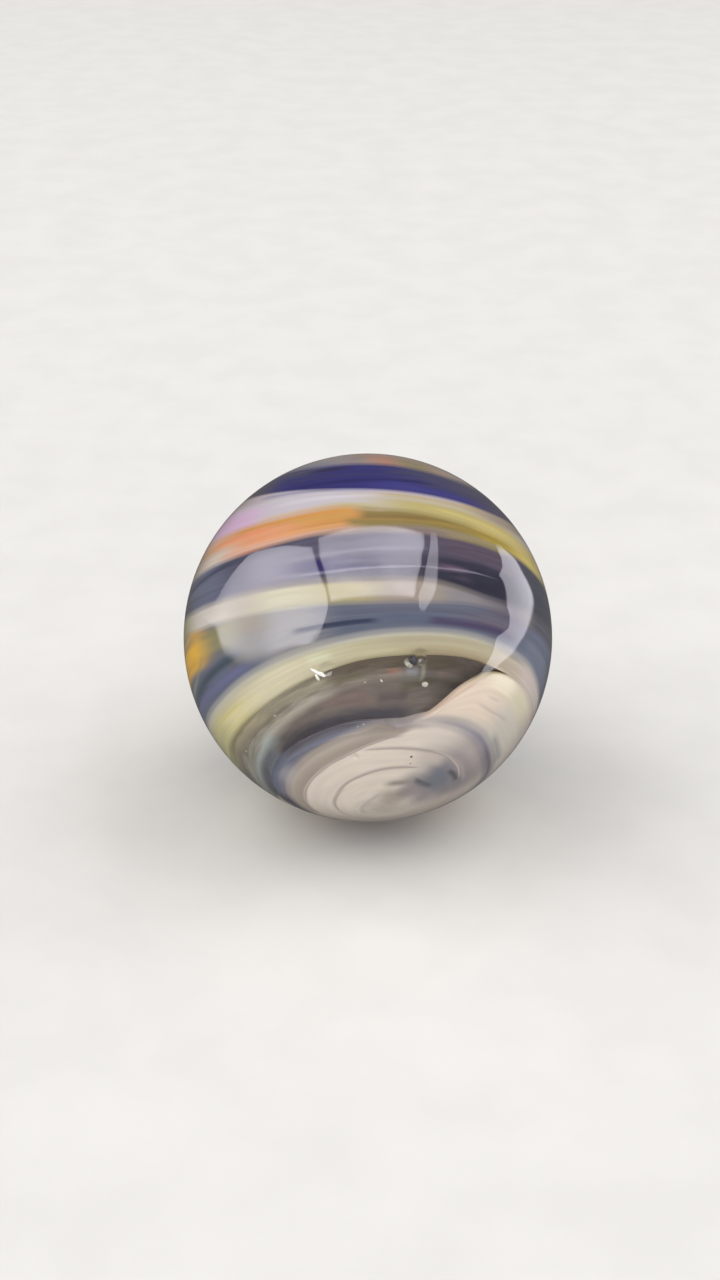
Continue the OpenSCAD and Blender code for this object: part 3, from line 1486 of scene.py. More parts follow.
PEACH = RibbonFinish("peach_glass", "#d0c5b8", streak=0.12, lines=7, seed=5.7, patches=(
    Patch("#c4bbb2", 0, 20, 12),
    Patch("#c8c3b9", 24, 14, 10, -0.2, 0.56),
    Patch("#d8d0b6", 28, 12, 9, 0.66, 0.92, 0.2),
    Patch("#e7d5c4", 54, 15, 10, 0.12, 1.1, 0.3),
    # Painted highlight: a small bright spot near the top of the peach lobe.
    Patch("#f2e8d2", 42, 7, 5, 0.72, 0.96, 0.12),
    Patch("#c4aa98", 270, 60, 20, 0.5, 1.1),
    Patch("#a8988e", 268, 40, 20, -0.2, 0.4),
    Patch("#9e9498", 83, 7),
), veins=(
    Vein("#9c936c", ((2, 56.4), (14, 57.6), (28, 58.6), (40, 58.8), (48, 58), (54, 55.6),
         (60, 52)), 1.7, 1.3, 6, 0.8),
    Vein("#cebaac", ((-4, 53.6), (6, 54.2), (16, 55.4), (28, 57)), 1.6, 1.4, 8, 0.6),
    Vein("#ceb4a0", ((52, 55.6), (57, 52.4), (62, 49), (66, 45.8), (72, 42), (78, 39.6)), 1.8, 2.4, 6, 0.8),
    Vein("#b2a6a0", ((26, 47), (36, 46.5), (46, 46.8), (54, 48)), 1, 1.2, 8, 0.5),
    Vein("#8c8a8e", ((2, 38), (18, 38.8), (34, 41)), 2.2, 2.6, 9, 0.75),
    Vein("#a0a0a0", ((38, 50.2), (43, 50), (49, 50.4)), 0.8, 0.9, 4, 0.3),
))
STRAW = RibbonFinish("straw_glass", "#bcb494", streak=0.16, lines=8, seed=1.9, patches=(
    Patch("#908684", 4, 9, 6),
    Patch("#c8bcb6", 22, 20, 12),
    Patch("#baac9e", 44, 9, 6, 0, 0.6),
    Patch("#6e6163", 44, 8, 6, 0.8, 1.2, 0.3),
    Patch("#aa9c7f", 66, 18, 10, -0.2, 0.34, 0.4),
    Patch("#aca38a", 72, 22, 12, 0.4, 0.8, 0.3),
    Patch("#d0c8ac", 132, 20, 14, -0.2, 0.8, 0.4),
    Patch("#d4ca96", 160, 14, 10, -0.2, 0.6, 0.4),
    Patch("#bab486", 184, 18, 10, -0.2, 0.6),
    Patch("#b1aea6", 110, 100, 30, 0.84, 1.2, 0.34),
    Patch("#a49c74", 128, 50, 20, -0.2, 0.06, 0.2, 0.6),
), veins=(
    Vein("#d6cdaa", ((120, 57.5), (138, 56), (152, 55), (166, 55)), 1, 1.4, 10, 0.7),
    Vein("#c4ba78", ((146, 58), (158, 57.6), (170, 58), (182, 59)), 1, 1.2, 8, 0.6),
    Vein("#d6debe", ((107, 61), (113, 61), (119, 61)), 2, 2, 4, 0.5),
    Vein("#9c9476", ((58, 61.2), (75, 60.6), (92, 60.2)), 0.6, 0.9, 12, 0.5),
))
SLATE = RibbonFinish("slate_glass", "#5b6173", dark="#404254", streak=0.28, lines=8, seed=2.6, patches=(
    Patch("#565761", 0, 12),
    Patch("#707588", 26, 16, 10, -0.2, 0.62),
    Patch("#666a80", 24, 20, 10, 0.7, 1.2),
    Patch("#645e6c", 52, 12, 8, 0.42, 0.8),
    Patch("#5a5262", 46, 10, 8, 0.82, 1.2),
    Patch("#616472", 84, 16, 10, 0.66, 1.2),
    Patch("#868484", 120, 11),
    Patch("#625f56", 137, 8, 6, 0.16, 0.7),
    Patch("#6e6244", 136, 9, 6, 0.66, 1.2),
    Patch("#827c5a", 150, 10, 7, 0.54, 0.96, 0.2),
    Patch("#daa832", 184, 27, 8, 0.5, 1.2, 0.16),
    Patch("#9e8458", 184, 22, 8, 0.86, 1.2, 0.16),
    Patch("#626252", 250, 50, 20),
), veins=(
    Vein("#463c5a", ((40, 68.8), (48, 69.2), (58, 69.2), (68, 69), (80, 69.2)), 1.9, 1.8, 7),
    Vein("#545c70", ((74, 69.6), (84, 69.8), (94, 70)), 1.6, 1.8, 7),
    Vein("#2b344c", ((90, 69.2), (98, 69.3), (106, 69.5), (122, 70)), 1.1, 1.2, 6),
    Vein("#545668", ((56, 72.4), (75, 72), (95, 72), (112, 73)), 1, 1.4, 10, 0.8),
    Vein("#626486", ((134, 66.4), (150, 65.6), (162, 66.6), (176, 67.4), (192, 68.4)), 2.6, 2.6, 9),
    Vein("#3e4854", ((136, 70), (150, 70), (162, 70), (176, 70.6), (192, 71)), 2.2, 2.6, 9),
    Vein("#8a866a", ((156, 79), (164, 74.4), (176, 73), (190, 73)), 1.4, 2, 8, 0.6),
    Vein("#ba9e64", ((160, 86), (176, 86.5), (196, 88)), 1.6, 1.8, 8, 0.8),
    Vein("#7c784e", ((136, 78.4), (150, 80), (160, 82)), 1.2, 1.4, 6, 0.6),
))
CREAM = RibbonFinish("cream_glass", "#9f956c", dark="#969086", streak=0.16, lines=6, seed=7.7, patches=(
    Patch("#aea88a", 121, 9),
    Patch("#958a77", 138, 9),
    Patch("#bcb5ae", 158, 14, 10),
    Patch("#928c6e", 182, 20, 10),
    Patch("#93867c", 83, 10),
    Patch("#7e787e", 62, 12, 7),
    Patch("#605c6a", 46, 10),
    Patch("#4c4c5a", 352, 46),
    Patch("#5c5c70", 265, 40),
    Patch("#7c7062", 104, 34, 20, 0.84, 1.2, 0.3),
), veins=(
    Vein("#9c9576", ((96, 75.2), (110, 76.6), (125, 78.4), (140, 81)), 0.8, 1.2, 10, 0.8),
    Vein("#a39a70", ((88, 78.4), (104, 79.4), (120, 81.6), (136, 84)), 0.9, 1, 10, 0.7),
))
SMOKE = RibbonFinish("smoke_glass", "#4a465a", dark="#2c2a3a", streak=0.3, lines=9, seed=4.2, patches=(
    Patch("#282736", 60, 18, 10, -1, 0.5, 0.2),
    Patch("#534756", 58, 16, 8, 0.54, 0.96, 0.24),
    Patch("#5c4c5e", 69, 5, 4, 0.2, 0.4, 0.15),
    Patch("#464752", 16, 26, 10),
    Patch("#706b7c", 121, 9, 7, -0.2, 0.8),
    Patch("#5c6074", 154, 14),
    Patch("#52535c", 178, 16),
    Patch("#565262", 104, 20, 14, -0.2, 0.12, 0.2),
    Patch("#292358", 104, 12, 10, 0.2, 0.46, 0.16),
    Patch("#585468", 98, 18, 12, 0.54, 0.78, 0.3),
), veins=(
    Vein("#2c2c3b", ((48, 83.2), (60, 83.4), (72, 83), (80, 83)), 1.6, 1.6),
    Vein("#9c97ac", ((50, 85), (66, 84.8), (84, 84.6), (104, 85), (124, 87)), 0.5, 0.6, 12, 0.5),
    Vein("#2e2d3d", ((46, 87), (56, 87), (66, 87), (76, 87.4)), 1.4, 1.6),
    Vein("#4e4860", ((76, 87), (90, 87), (106, 88)), 1.2, 1.6),
    Vein("#767084", ((70, 91), (88, 90.6), (106, 90.8), (124, 92)), 1, 1.4, 12, 0.7),
    Vein("#443a4a", ((46, 92.6), (60, 92.2), (74, 91.8)), 0.6, 0.7, 8, 0.6),
    Vein("#3e4256", ((104, 97.3), (116, 97.4), (130, 98.2), (146, 99.4), (160, 100.6),
         (178, 101.6)), 1.6, 1.6, 10),
    Vein("#96885c", ((42, 95.2), (50, 95.6), (62, 96.2), (75, 96.6)), 1.8, 4, 8, 0.85),
    Vein("#86756c", ((64, 96.3), (75, 96.6), (90, 97), (102, 97.2), (110, 97.4)), 1.8, 4, 8, 0.85),
))
ORANGE = RibbonFinish(
    "orange_glass", "#ba8444", dark="#8c6846", streak=0.2, lines=6, drift=0.06, seed=9.3, patches=(
    Patch("#7c6d3a", 77, 22, 2.5, -1, 0.46, 0.3),
    Patch("#786a3a", 76, 18.5, 2.5, 0.46, 2, 0.3),
    Patch("#968634", 48, 10),
    Patch("#c3b162", 30, 12),
    Patch("#9c9278", 8, 16, 9),
    Patch("#98948c", 62, 22, 14, -0.3, 0.06, 0.5, 0.6),
    Patch("#ce8d68", 130, 16, 10, -0.2, 0.7),
    Patch("#c0b2a6", 152, 14, 8, -0.2, 0.46, 0.3),
    Patch("#c49c80", 150, 10, 8, 0.6, 1.2),
    Patch("#8e847e", 176, 18, 10),
    Patch("#84763e", 305, 56, 10),
), veins=(
    Vein("#c69e8a", ((92, 98.3), (104, 98.4), (120, 99), (134, 101), (148, 103.6)), 1.4, 1.8),
    Vein("#ce9460", ((96, 100.2), (108, 100.4), (122, 100.8)), 0.8, 1.2, 5, 0.8),
    Vein("#d28662", ((120, 105), (130, 105.8), (140, 107.6), (152, 110.6)), 1.6, 2.4, 7),
    Vein("#ba8e48", ((96, 103.4), (106, 103.6), (118, 104.6)), 1.2, 1.4, 5, 0.8),
    Vein("#705c30", ((64, 100.6), (74, 101.4), (84, 101.6), (97, 102.2)), 1, 1.4, 5, 0.8),
    Vein("#8a7a36", ((48, 99), (58, 99.8), (68, 100.4), (78, 101)), 1, 1, 7),
    Vein("#988062", ((86, 103.8), (92, 104.4), (98, 105)), 1, 1, 3, 0.7),
))
MILK = RibbonFinish("milk_glass", "#b3adb4", dark="#9e9292", streak=0.16, lines=7, seed=6.5, patches=(
    Patch("#c0a0be", 142, 14, 8, -0.2, 0.5, 0.3),
    Patch("#bc9eb6", 152, 8, 6, 0.1, 0.7),
    Patch("#a49698", 148, 18, 10, 0.62, 1.2, 0.3),
    Patch("#867874", 174, 14),
    Patch("#a99c61", 62, 27, 12, -0.2, 0.62, 0.4),
    Patch("#ac9c78", 66, 26, 12, 0.66, 1.2, 0.3),
    Patch("#aea27c", 96, 10, 8, -0.2, 0.26, 0.3),
    Patch("#b8a768", 36, 20, 8, -0.2, 0.4, 0.3),
    Patch("#968776", 36, 18, 8, 0.62, 1.2, 0.3),
    Patch("#a0947a", 4, 14),
    Patch("#b2a268", 305, 56, 10),
), veins=(
    Vein("#bca48e", ((98, 108.2), (110, 108.6), (122, 109.4), (132, 111)), 1.2, 1, 8, 0.8),
    Vein("#c2bcc4", ((84, 110.6), (98, 111.4), (112, 112.8), (126, 114.6)), 1.4, 1.6, 10, 0.7),
    Vein("#7c7790", ((86, 113), (104, 115.6), (120, 119), (134, 123)), 1.8, 1.4, 8, 0.75),
    Vein("#c4b264", ((30, 101.8), (48, 103), (62, 104.6), (76, 106.4)), 1.2, 1.4, 10, 0.7),
    Vein("#aca6c0", ((56, 110.6), (66, 111), (78, 111.8), (92, 113.2), (106, 115.4)), 1.2, 4, 8, 0.6),
))
INDIGO = RibbonFinish("indigo_glass", "#2b2867", dark="#1c1a34", streak=0.25, lines=10, seed=0.8, patches=(
    Patch("#3e3c5c", 62, 16, 12, 0.3, 1.2, 0.3),
    Patch("#464258", 42, 16, 10),
    Patch("#463c4e", 18, 16, 10),
    Patch("#4a4450", 154, 26, 9),
    Patch("#383578", 70, 18, 10, -0.2, 0.3, 0.3),
    Patch("#3e3c54", 122, 12, 8, 0.6, 1.2, 0.3),
), veins=(
    Vein("#201e58", ((64, 118.4), (80, 118.6), (96, 119.2), (112, 120.4), (124, 123)), 1.8, 1.6, 12),
    Vein("#322f5c", ((70, 121.6), (84, 122), (98, 122.8), (112, 124.6), (126, 126.6)), 1.2, 1.5, 12),
    Vein("#3c3e54", ((60, 123.6), (72, 123.2), (86, 123.8)), 1, 1.2),
    Vein("#221f3e", ((92, 127.4), (104, 128.2), (116, 129.4)), 2, 2.2, 10),
    Vein("#4a466c", ((102, 131), (114, 131.4), (126, 132)), 0.8, 1, 8, 0.8),
    Vein("#605c60", ((36, 123.6), (48, 124), (58, 124.6), (66, 126)), 1.6, 2, 8, 0.7),
))
CAP = RibbonFinish("cap_glass", "#a69a90", streak=0.2, lines=9, seed=3.9, patches=(
    Patch("#9c8672", 74, 18, 12, -0.2, 0.5),
    Patch("#ac7e68", 84, 8, 6, -0.2, 0.3),
    Patch("#8a7e5c", 70, 6, 5, -0.2, 0.16),
    Patch("#8e8280", 96, 8, 8, -0.2, 0.2),
    Patch("#84808c", 116, 14, 8, -0.2, 0.2),
    Patch("#c4b8aa", 0, 200, 8, 0.34, 2, 0.5),
), veins=(
    Vein("#b88468", ((74, 133), (82, 134), (92, 135.4)), 1.4, 1.8, 6, 0.8),
    Vein("#98905c", ((62, 130.4), (70, 131.2), (80, 132.6)), 1, 1.2, 6, 0.7),
))
BODY_GLASS = RibbonFinish(
    "smoky_body_glass", "#897f78", dark="#544d4e", streak=0.34, lines=12, length=4, drift=0.3,
    shiver=1.6, seed=1.2, patches=(
    Patch("#707076", 224, 24, 14),
    Patch("#807974", 70, 11, 8, 0.3, 0.72, 0.4),
), veins=(
    Vein("#7c7061", ((56, 57), (70, 56.6), (90, 56), (110, 55.8), (126, 55)), 3.4, 6, 10),
    Vein("#706a54", ((64, 52), (74, 49), (86, 45.6)), 3, 3, 6, 0.6),
    Vein("#988a81", ((50, 57), (56, 55.6), (62, 53.8), (70, 52.6)), 2.6, 3, 4, 0.75),
    Vein("#a69a92", ((76, 52), (86, 51.8), (96, 50.6), (108, 50), (120, 49.4)), 2.8, 3, 10, 0.9),
    Vein("#927e76", ((98, 46.2), (104, 46), (112, 46.4), (120, 46.6)), 2.4, 2, 6, 0.9),
    Vein("#8e886a", ((96, 52.6), (106, 52), (118, 51.4), (128, 51)), 2, 3, 6, 0.7),
    Vein("#947f7b", ((95.4, 43.6), (106, 44), (122, 45.4)), 4.4, 4.4, 2.4, 0.8),
    Vein("#62585c", ((78, 44.4), (88, 44), (96, 43.4)), 4, 3.4, 3.6, 0.55),
    Vein("#8e9284", ((72, 50.6), (78, 50.4), (86, 50)), 1.8, 1.8, 3, 0.7),
    Vein("#ca8e7a", ((82.6, 53), (86.4, 52.8), (91, 52.4)), 1.7, 1.6, 3, 0.55),
    Vein("#b2b6c0", ((75, 53.2), (79, 53), (83, 52.8)), 2.4, 2.6, 3, 0.85),
    Vein("#ccccb8", ((72.8, 53.2), (76, 53.8)), 5.4, 5.4, 1.5, 0.6),
    Vein("#c4bca4", ((112, 53), (124, 52.4), (136, 52), (146, 51.4), (155, 51), (164, 51.6)), 4, 4.6, 9),
    Vein("#ccc2a4", ((146, 51.2), (164, 51.6), (178, 52.6), (192, 54), (215, 54), (240, 54)), 4.6, 4),
    Vein("#d2ccbe", ((108, 50), (119, 49), (131, 47.5), (143, 46), (155, 44.8), (167, 45), (180, 46),
         (196, 47), (220, 47), (244, 47)), 4.4, 4.8, 12),
    Vein("#bcc6c6", ((150, 43.4), (164, 43), (178, 43.4), (190, 43.8), (210, 44),
         (238, 44)), 5, 5, 10, 0.9),
    Vein("#e4e0da", ((146, 46.8), (158, 45.6), (168, 45.2), (180, 45.6)), 2.8, 2.8, 8, 0.6),
    Vein("#56535c", ((72, 39), (86, 38.2), (107, 38.4), (131, 38.2), (150, 37.8), (168, 36)), 8, 4.4, 12),
    Vein("#888e9e", ((158, 38.6), (172, 38.6), (184, 38.8), (205, 38.6), (236, 38)), 8, 4, 12),
    Vein("#8c8a6a", ((140, 54.4), (156, 56), (172, 58.4), (186, 60), (205, 60)), 3, 6, 12, 0.8),
))
THREAD_GLASS = RibbonFinish("thread_glass", "#baafa6", streak=0.16, lines=2)


@dataclass
class Marble:
    """The whole ball.

    Args:
        ball: its shape.
    """

    ball: Ball

    def ribbons(self) -> tuple[Ribbon, ...]:
        """The ribbons, from the swirl's lower end to its upper one.

        Returns:
            The white swirl, the two ribbons at the window's ends, those above it and the cap.
        """
        glasses = (PEACH, STRAW, SLATE, CREAM, SMOKE, ORANGE, MILK, INDIGO, CAP)
        edges = (WINDOW_EDGE, STRAW_EDGE, SLATE_EDGE, CREAM_EDGE)
        edges += (SMOKE_EDGE, ORANGE_EDGE, MILK_EDGE, INDIGO_EDGE)
        beside = zip(glasses, glasses[1:], glasses[2:], edges, edges[1:])
        upper = [
            Ribbon(glass.name.replace("glass", "ribbon"), glass, low, high, below, above)
            for below, glass, above, low, high in beside
        ]
        peach_low = replace(BLUE_EDGE, rim=Rim.BUTT)
        return (
            Ribbon("white_swirl", WHITE, None, WHITE_EDGE, above=BLUE, rows=60),
            Ribbon("blue_line", BLUE, WHITE_EDGE, BLUE_EDGE, WHITE, PEACH, feather=0.3 * MM),
            Ribbon("peach_ribbon", PEACH, peach_low, PEACH_EDGE, BLUE, STRAW, (195, 446), 0.45 * MM),
            *upper,
            Ribbon("swirl_cap", CAP, INDIGO_EDGE, None, INDIGO, rows=50),
        )

    def body(self) -> SmokyBody:
        """The smoky body that the window shows."""
        veil = ((0, 50), (80, 52), (100, 51), (130, 47.5), (150, 45.5), (170, 43), (200, 42), (260, 45))
        return SmokyBody("smoky_body", BODY_GLASS, BLUE_EDGE, WINDOW_EDGE, Course(veil))

    def threads(self) -> tuple[Thread, ...]:
        """The thin lines that wind through the white swirl.

        Returns:
            The outer line of the spiral, the one at its right, and the inner one.
        """
        outer = (
            (92, 33.8), (100, 32.3), (110, 30.6), (118, 29.3), (130, 28.3), (150, 26.3), (170, 25),
            (190, 23.8), (215, 22),
        )
        right = ((22, 24.5), (35, 27), (50, 29), (65, 29.8), (85, 30), (104, 30.3))
        inner = (
            (66, 22.9), (80, 22.8), (95, 22.2), (110, 21), (130, 19.3), (150, 16.8), (170, 15.4),
            (195, 13.8), (225, 12),
        )
        lines = {"outer_thread": outer, "right_thread": right, "inner_thread": inner}
        return tuple(Thread(name, THREAD_GLASS, stations) for name, stations in lines.items())

    def bead_sets(self) -> tuple[BeadSet, ...]:
        """The seed bubbles, the white beads that paint the glint of light off the nick, and the dark
        specks.

        Returns:
            A set for each of the three looks.
        """
        # Opaque beads for the seed bubbles, whose pale clouds are painted highlight for the light that the
        # bubbles catch.
        bubbles = (
            Bead(50.3, 75.8, 0.27, 0.22, depth=0.35),
            Bead(56.4, 82.4, 0.42, 0.3, 137, 0.5),
            Bead(38.6, 104.6, 0.06, 0.05, 20, 0.14),
            Bead(39.1, 101.8, 0.08, 0.05, 150, 0.14),
            Bead(51.6, 92.6, 0.16, 0.08, 120),
            Bead(51.6, 98.6, 0.1, 0.08),
            Bead(49, 140, 0.12, 0.1, depth=0.5),
            Bead(46.5, 170, 0.1, 0.09, depth=0.4),
        )
        # White beads that paint the glint of light off the chipped nick.
        painted_glints = (
            Bead(56.9, 114.5, 0.68, 0.13, 137, 0.13),
            Bead(55.7, 115.1, 0.3, 0.12, 105, 0.13),
            Bead(56.6, 113.6, 0.26, 0.12, 150, 0.13),
        )
        specks = (
            Bead(57.3, 81, 0.42, 0.34, 137, 0.28),
            Bead(26.9, 75.3, 0.11, 0.09, 30, 0.125),
            Bead(24.3, 74.2, 0.06, 0.05, depth=0.11),
        )
        return (
            BeadSet("seed_bubbles", BeadFinish("seed_bubble_glass", "#a09e92", "#d6d6c8"), bubbles),
            # The painted glint of light off the nick.
            BeadSet("painted_nick_glints", BeadFinish("nick_flash_glass", "#f0eee8", "#fcfcfa", 0.1), painted_glints),
            BeadSet("dark_specks", BeadFinish("dark_speck_glass", "#3a3c40", "#4a4a50"), specks),
        )

    def build(self) -> None:
        """Makes and dresses every piece, and logs its name and how many faces it has."""
        effects = Effects(self.ball.swirl)
        outer = OuterGlass("outer_glass", ClearGlass("clear_glass", "#faf9f7"))
        for part in (*self.ribbons(), self.body(), *self.threads(), *self.bead_sets(), outer):
            piece = part.build(self.ball)
            part.dress(piece, effects)
            LOG.info("%s: %d faces", piece.name, len(piece.data.polygons))


# ---- the studio


def far_spot(azimuth: float, height: float, distance: float) -> np.ndarray:
    """A place round the marble.

    Args:
        azimuth: degrees from the front towards +X.
        height: degrees above the marble's middle, where more than 90 is beyond the top.
        distance: how far away it is.

    Returns:
        The place.
    """
    a, h = math.radians(azimuth), math.radians(height)
    return distance * np.array([math.sin(a) * math.cos(h), -math.cos(a) * math.cos(h), math.sin(h)])


@dataclass(frozen=True)
class Lamp:
    """A large soft lamp.

    Args:
        name: the lamp's name.
        azimuth: where it stands round the marble, from the front towards +X.
        height: how high it stands, as an angle.
        wide: its width as the marble sees it, as an angle.
        tall: its height, as an angle.
        light: how bright its face is.
        distance: how far away it stands.
    """

    name: str
    azimuth: float
    height: float
    wide: float
    tall: float
    light: float
    distance: float = 0.6

    def place(self) -> None:
        """Adds the lamp."""
        data = bpy.data.lights.new(self.name, "AREA")
        data.shape = "RECTANGLE"
        sides = (2 * self.distance * math.tan(math.radians(v / 2)) for v in (self.wide, self.tall))
        data.size, data.size_y = sides
        data.energy = self.light * math.pi * data.size * data.size_y
        lamp = add(self.name, data, "camera", "glossy", "transmission")
        lamp.rotation_euler = (math.radians(90 - self.height), 0, math.radians(self.azimuth))
        lamp.location = far_spot(self.azimuth, self.height, self.distance).tolist()


@dataclass(frozen=True)
class Card:
    """A sheet of lit cloth round the marble, which shows only as a bright field in the glass.

    Args:
        name: the card's name.
        left: its left side from bottom to top, as pairs of azimuth and height.
        right: its right side from bottom to top.
        shine: how bright it shows.
        soft: how softly its left, right, lower and upper sides fade, as shares of its width and height.
        distance: how far away it hangs.
        tint: its colour.
        cells: how many faces it has along each side.
    """

    name: str
    left: Stations
    right: Stations
    shine: float
    soft: tuple[float, float, float, float]
    distance: float = 0.55
    tint: str = "#eeebf3"
    cells: int = 40

    def _side(self, stations: Stations) -> np.ndarray:
        """Points along one side, evenly spaced.

        Args:
            stations: the side's stations.

        Returns:
            A point in each row.
        """
        spots = np.array([far_spot(a, h, 1.0) for a, h in stations])
        run = np.concatenate(([0.0], np.cumsum(np.linalg.norm(np.diff(spots, axis=0), axis=1))))
        along = np.linspace(0, run[-1], self.cells + 1)
        return np.stack([np.interp(along, run, spots[:, k]) for k in range(3)], -1)

    def place(self) -> None:
        """Adds the card as a curved sheet."""
        left, right = self._side(self.left), self._side(self.right)
        row = self.cells + 1
        u, v = np.meshgrid(np.linspace(0, 1, row), np.linspace(0, 1, row))
        points = left[:, None] * (1 - u[..., None]) + right[:, None] * u[..., None]
        points *= self.distance / np.linalg.norm(points, axis=-1)[..., None]
        starts = [j * row + i for j in range(self.cells) for i in range(self.cells)]
        glow = np.ones_like(u)
        for place, soft in zip((u, 1 - u, v, 1 - v), self.soft):
            glow *= smooth_step(0, soft, place)
        faces = [(k, k + 1, k + 1 + row, k + row) for k in starts]
        sheet = mesh_of(self.name, points, faces, {"glow": glow})
        card = add(self.name, sheet, "camera", "diffuse", "transmission", "shadow")
        card.data.materials.append(LitCloth(f"{self.name}_cloth", self.tint, self.shine).material())


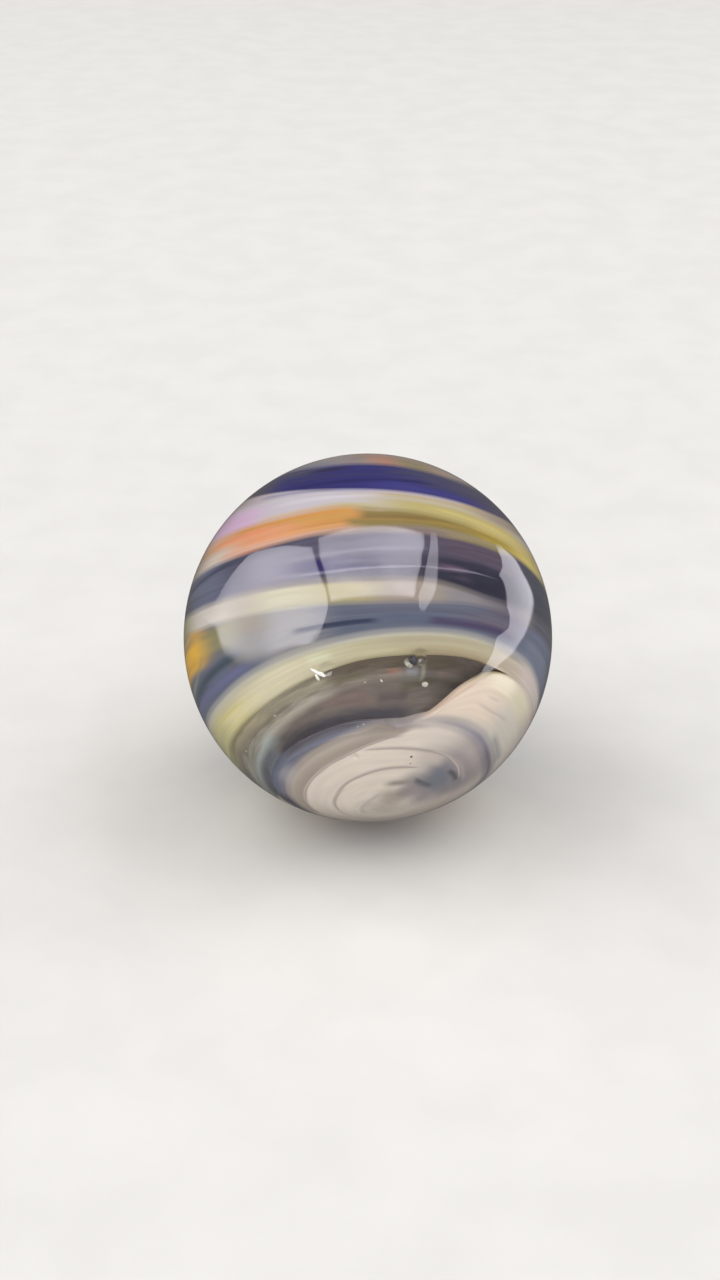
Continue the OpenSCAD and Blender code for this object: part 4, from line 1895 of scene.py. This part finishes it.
@dataclass
class Studio:
    """The floor, the soft light and the camera.

    Args:
        radius: the marble's radius.
        floor_reach: the floor's radius.
        floor_rise: how steeply the floor's rim rises.
        rings: how many rings of faces the floor has.
        spokes: how many faces each ring has.
        room: how bright the plain room is.
        camera_height: how high the camera stands, as an angle.
        lens: the camera's lens in millimetres.
        sensor: the longer side of its frame in millimetres.
        picture: the picture's width and height in pixels.
        middle: where the marble's middle lies in the picture, in pixels.
        half_width: the marble's radius in the picture, in pixels.
    """

    radius: float
    floor_reach: float = 0.5
    floor_rise: float = 0.3
    rings: int = 40
    spokes: int = 96
    room: float = 0.12
    camera_height: float = 30.2
    lens: float = 50.0
    sensor: float = 36.0
    picture: tuple[int, int] = (720, 1280)
    middle: tuple[float, float] = (367.8, 637.8)
    half_width: float = 184.3
    FLAT_TO = 0.6

    def lamps(self) -> tuple[Lamp, ...]:
        """The soft lamps that light the marble and the floor.

        Returns:
            The lamps above, at the left, in front and at the right.
        """
        return (
            Lamp("top_lamp", 0, 78, 80, 70, 1.2),
            Lamp("left_lamp", -94, 40, 60, 60, 1.85),
            Lamp("front_lamp", 6, 16, 80, 24, 1.65),
            Lamp("right_lamp", 100, 40, 60, 60, 1.6),
        )

    def cards(self) -> tuple[Card, ...]:
        """The lit cloth of the light tent that shows in the glass.

        Returns:
            The cloth at the left, the one in front, the strip beside it, and the curved one at the right.
        """
        left_cloth = (
            (
                (-31, 24), (-36, 21), (-46, 15), (-56, 6), (-66, -2), (-76, -6), (-87, -7), (-92, -5),
                (-98, -2), (-110, -5), (-118, -8),
            ),
            (
                (-30, 26), (-29.5, 32), (-29, 41), (-31, 46), (-37, 52), (-49, 57), (-64, 61), (-84, 63),
                (-99, 51), (-105, 41), (-110, 30), (-109, 25), (-108, 18), (-107, 6), (-115, -5),
            ),
        )
        front_cloth = (
            ((-33, 47), (-40, 52), (-48, 57), (-60, 61), (-80, 63), (-96, 64), (-109, 63)),
            ((42, 47), (48, 51), (53, 54), (61, 57), (73, 59), (85, 61), (99, 60), (117, 59)),
        )
        right_strip = (
            ((41, 39), (45, 47), (50, 50), (57, 52), (69, 56), (83, 58), (97, 58), (120, 55)),
            ((44, 38), (49, 40), (57, 42), (63, 44), (68, 46), (79, 50), (89, 52), (119, 52)),
        )
        right_cloth = (
            (
                (57, -5), (63, -2), (68, 1), (72, 3), (77, 8), (82, 7), (88, 6), (92, 9), (93, 13),
                (99, 17), (102, 20), (102, 23), (109, 21), (114, 21), (118, 23), (121, 24),
            ),
            (
                (58, -6), (70, -5), (80, -5), (87, -6), (94, -5), (103, -5), (111, -5), (119, -5),
                (122, -4), (123, 0), (123, 5), (125, 9), (123, 16), (123, 21),
            ),
        )
        return (
            Card("left_cloth", *left_cloth, 5.6, (0.16, 0.03, 0.08, 0.45), 0.04),
            Card("front_cloth", *front_cloth, 5.6, (0.03, 0.03, 0.06, 0.06)),
            Card("right_strip", *right_strip, 4.2, (0.06, 0.18, 0.06, 0.1)),
            Card("right_cloth", *right_cloth, 4.6, (0.05, 0.16, 0.12, 0.06), 0.035),
        )

    def floor(self) -> None:
        """A large round floor, rising softly at its rim, which doesn't show in the glass's reflections."""
        out = np.array([(i / self.rings) ** 2 for i in range(1, self.rings + 1)])
        out, turn = np.meshgrid(out, 2 * math.pi * np.arange(self.spokes) / self.spokes, indexing="ij")
        rise = self.floor_rise * np.maximum(0.0, out - self.FLAT_TO) ** 2
        reach = self.floor_reach * out
        rings = np.stack((reach * np.cos(turn), reach * np.sin(turn), rise - self.radius), -1)
        points = np.concatenate((rings.reshape(-1, 3), [[0.0, 0.0, -self.radius]]))
        faces = [face[::-1] for face in wrap_faces(self.rings, self.spokes, False)[:-2]]
        faces += [(len(points) - 1, k, (k + 1) % self.spokes) for k in range(self.spokes)]
        floor = add("studio_floor", mesh_of("studio_floor", points, faces, {}), "glossy")
        floor.data.materials.append(PaleCard("pale_card", "#d6d4d1").material())

    def surroundings(self) -> None:
        """A plain dim room, dark enough to keep the glass's edges crisp."""
        world = bpy.data.worlds.new("dim_room")
        world.use_nodes = True
        w = Wiring(world.node_tree)
        back = w.node("Background", {"Color": (1.0, 0.995, 0.99, 1.0), "Strength": self.room})
        w.node("OutputWorld", {"Surface": back.outputs[0]})
        bpy.context.scene.world = world

    def camera(self) -> None:
        """The camera, placed so that the marble has its size and place in the picture."""
        focal = self.lens / self.sensor * max(self.picture)
        away = 1 / math.sin(math.atan(self.half_width / focal))
        aim = np.array([*((m - side / 2) / focal for m, side in zip(self.middle, self.picture)), 1.0])
        aim *= away / np.linalg.norm(aim)
        tilt = math.radians(self.camera_height)
        right = np.array([1.0, 0.0, 0.0])
        down = np.array([0.0, -math.sin(tilt), -math.cos(tilt)])
        ahead = np.array([0.0, math.cos(tilt), -math.sin(tilt)])
        spot = -(aim[0] * right + aim[1] * down + aim[2] * ahead) * self.radius
        data = bpy.data.cameras.new("studio_camera")
        data.lens, data.sensor_width = self.lens, self.sensor
        data.clip_start, data.clip_end = 0.005, 20
        camera = add("studio_camera", data)
        camera.location = spot.tolist()
        camera.rotation_euler = (math.pi / 2 - tilt, 0, 0)
        bpy.context.scene.camera = camera

    def build(self) -> None:
        """Sets up the whole studio."""
        self.floor()
        self.surroundings()
        for part in (*self.lamps(), *self.cards()):
            part.place()
        self.camera()
        bpy.context.scene.view_settings.view_transform = "Standard"


def main() -> None:
    """Builds the marble and the studio, and logs how many faces each piece has."""
    logging.basicConfig(level=logging.INFO, format="%(name)s: %(message)s")
    radius = float(min(min(-CAD_BOX[0][i], CAD_BOX[1][i]) for i in range(3)))
    burst_bubble = Pit(58, 79, 0.5 * MM, 0.25 * MM)
    nick = Pit(57, 111, 0.45 * MM, 0.08 * MM)
    pin_hole = Pit(29, 111, 0.2 * MM, 0.1 * MM)
    Marble(Ball(radius, Swirl(), 0.12 * MM, (burst_bubble, nick, pin_hole))).build()
    Studio(radius).build()


if __name__ == "__main__":
    main()
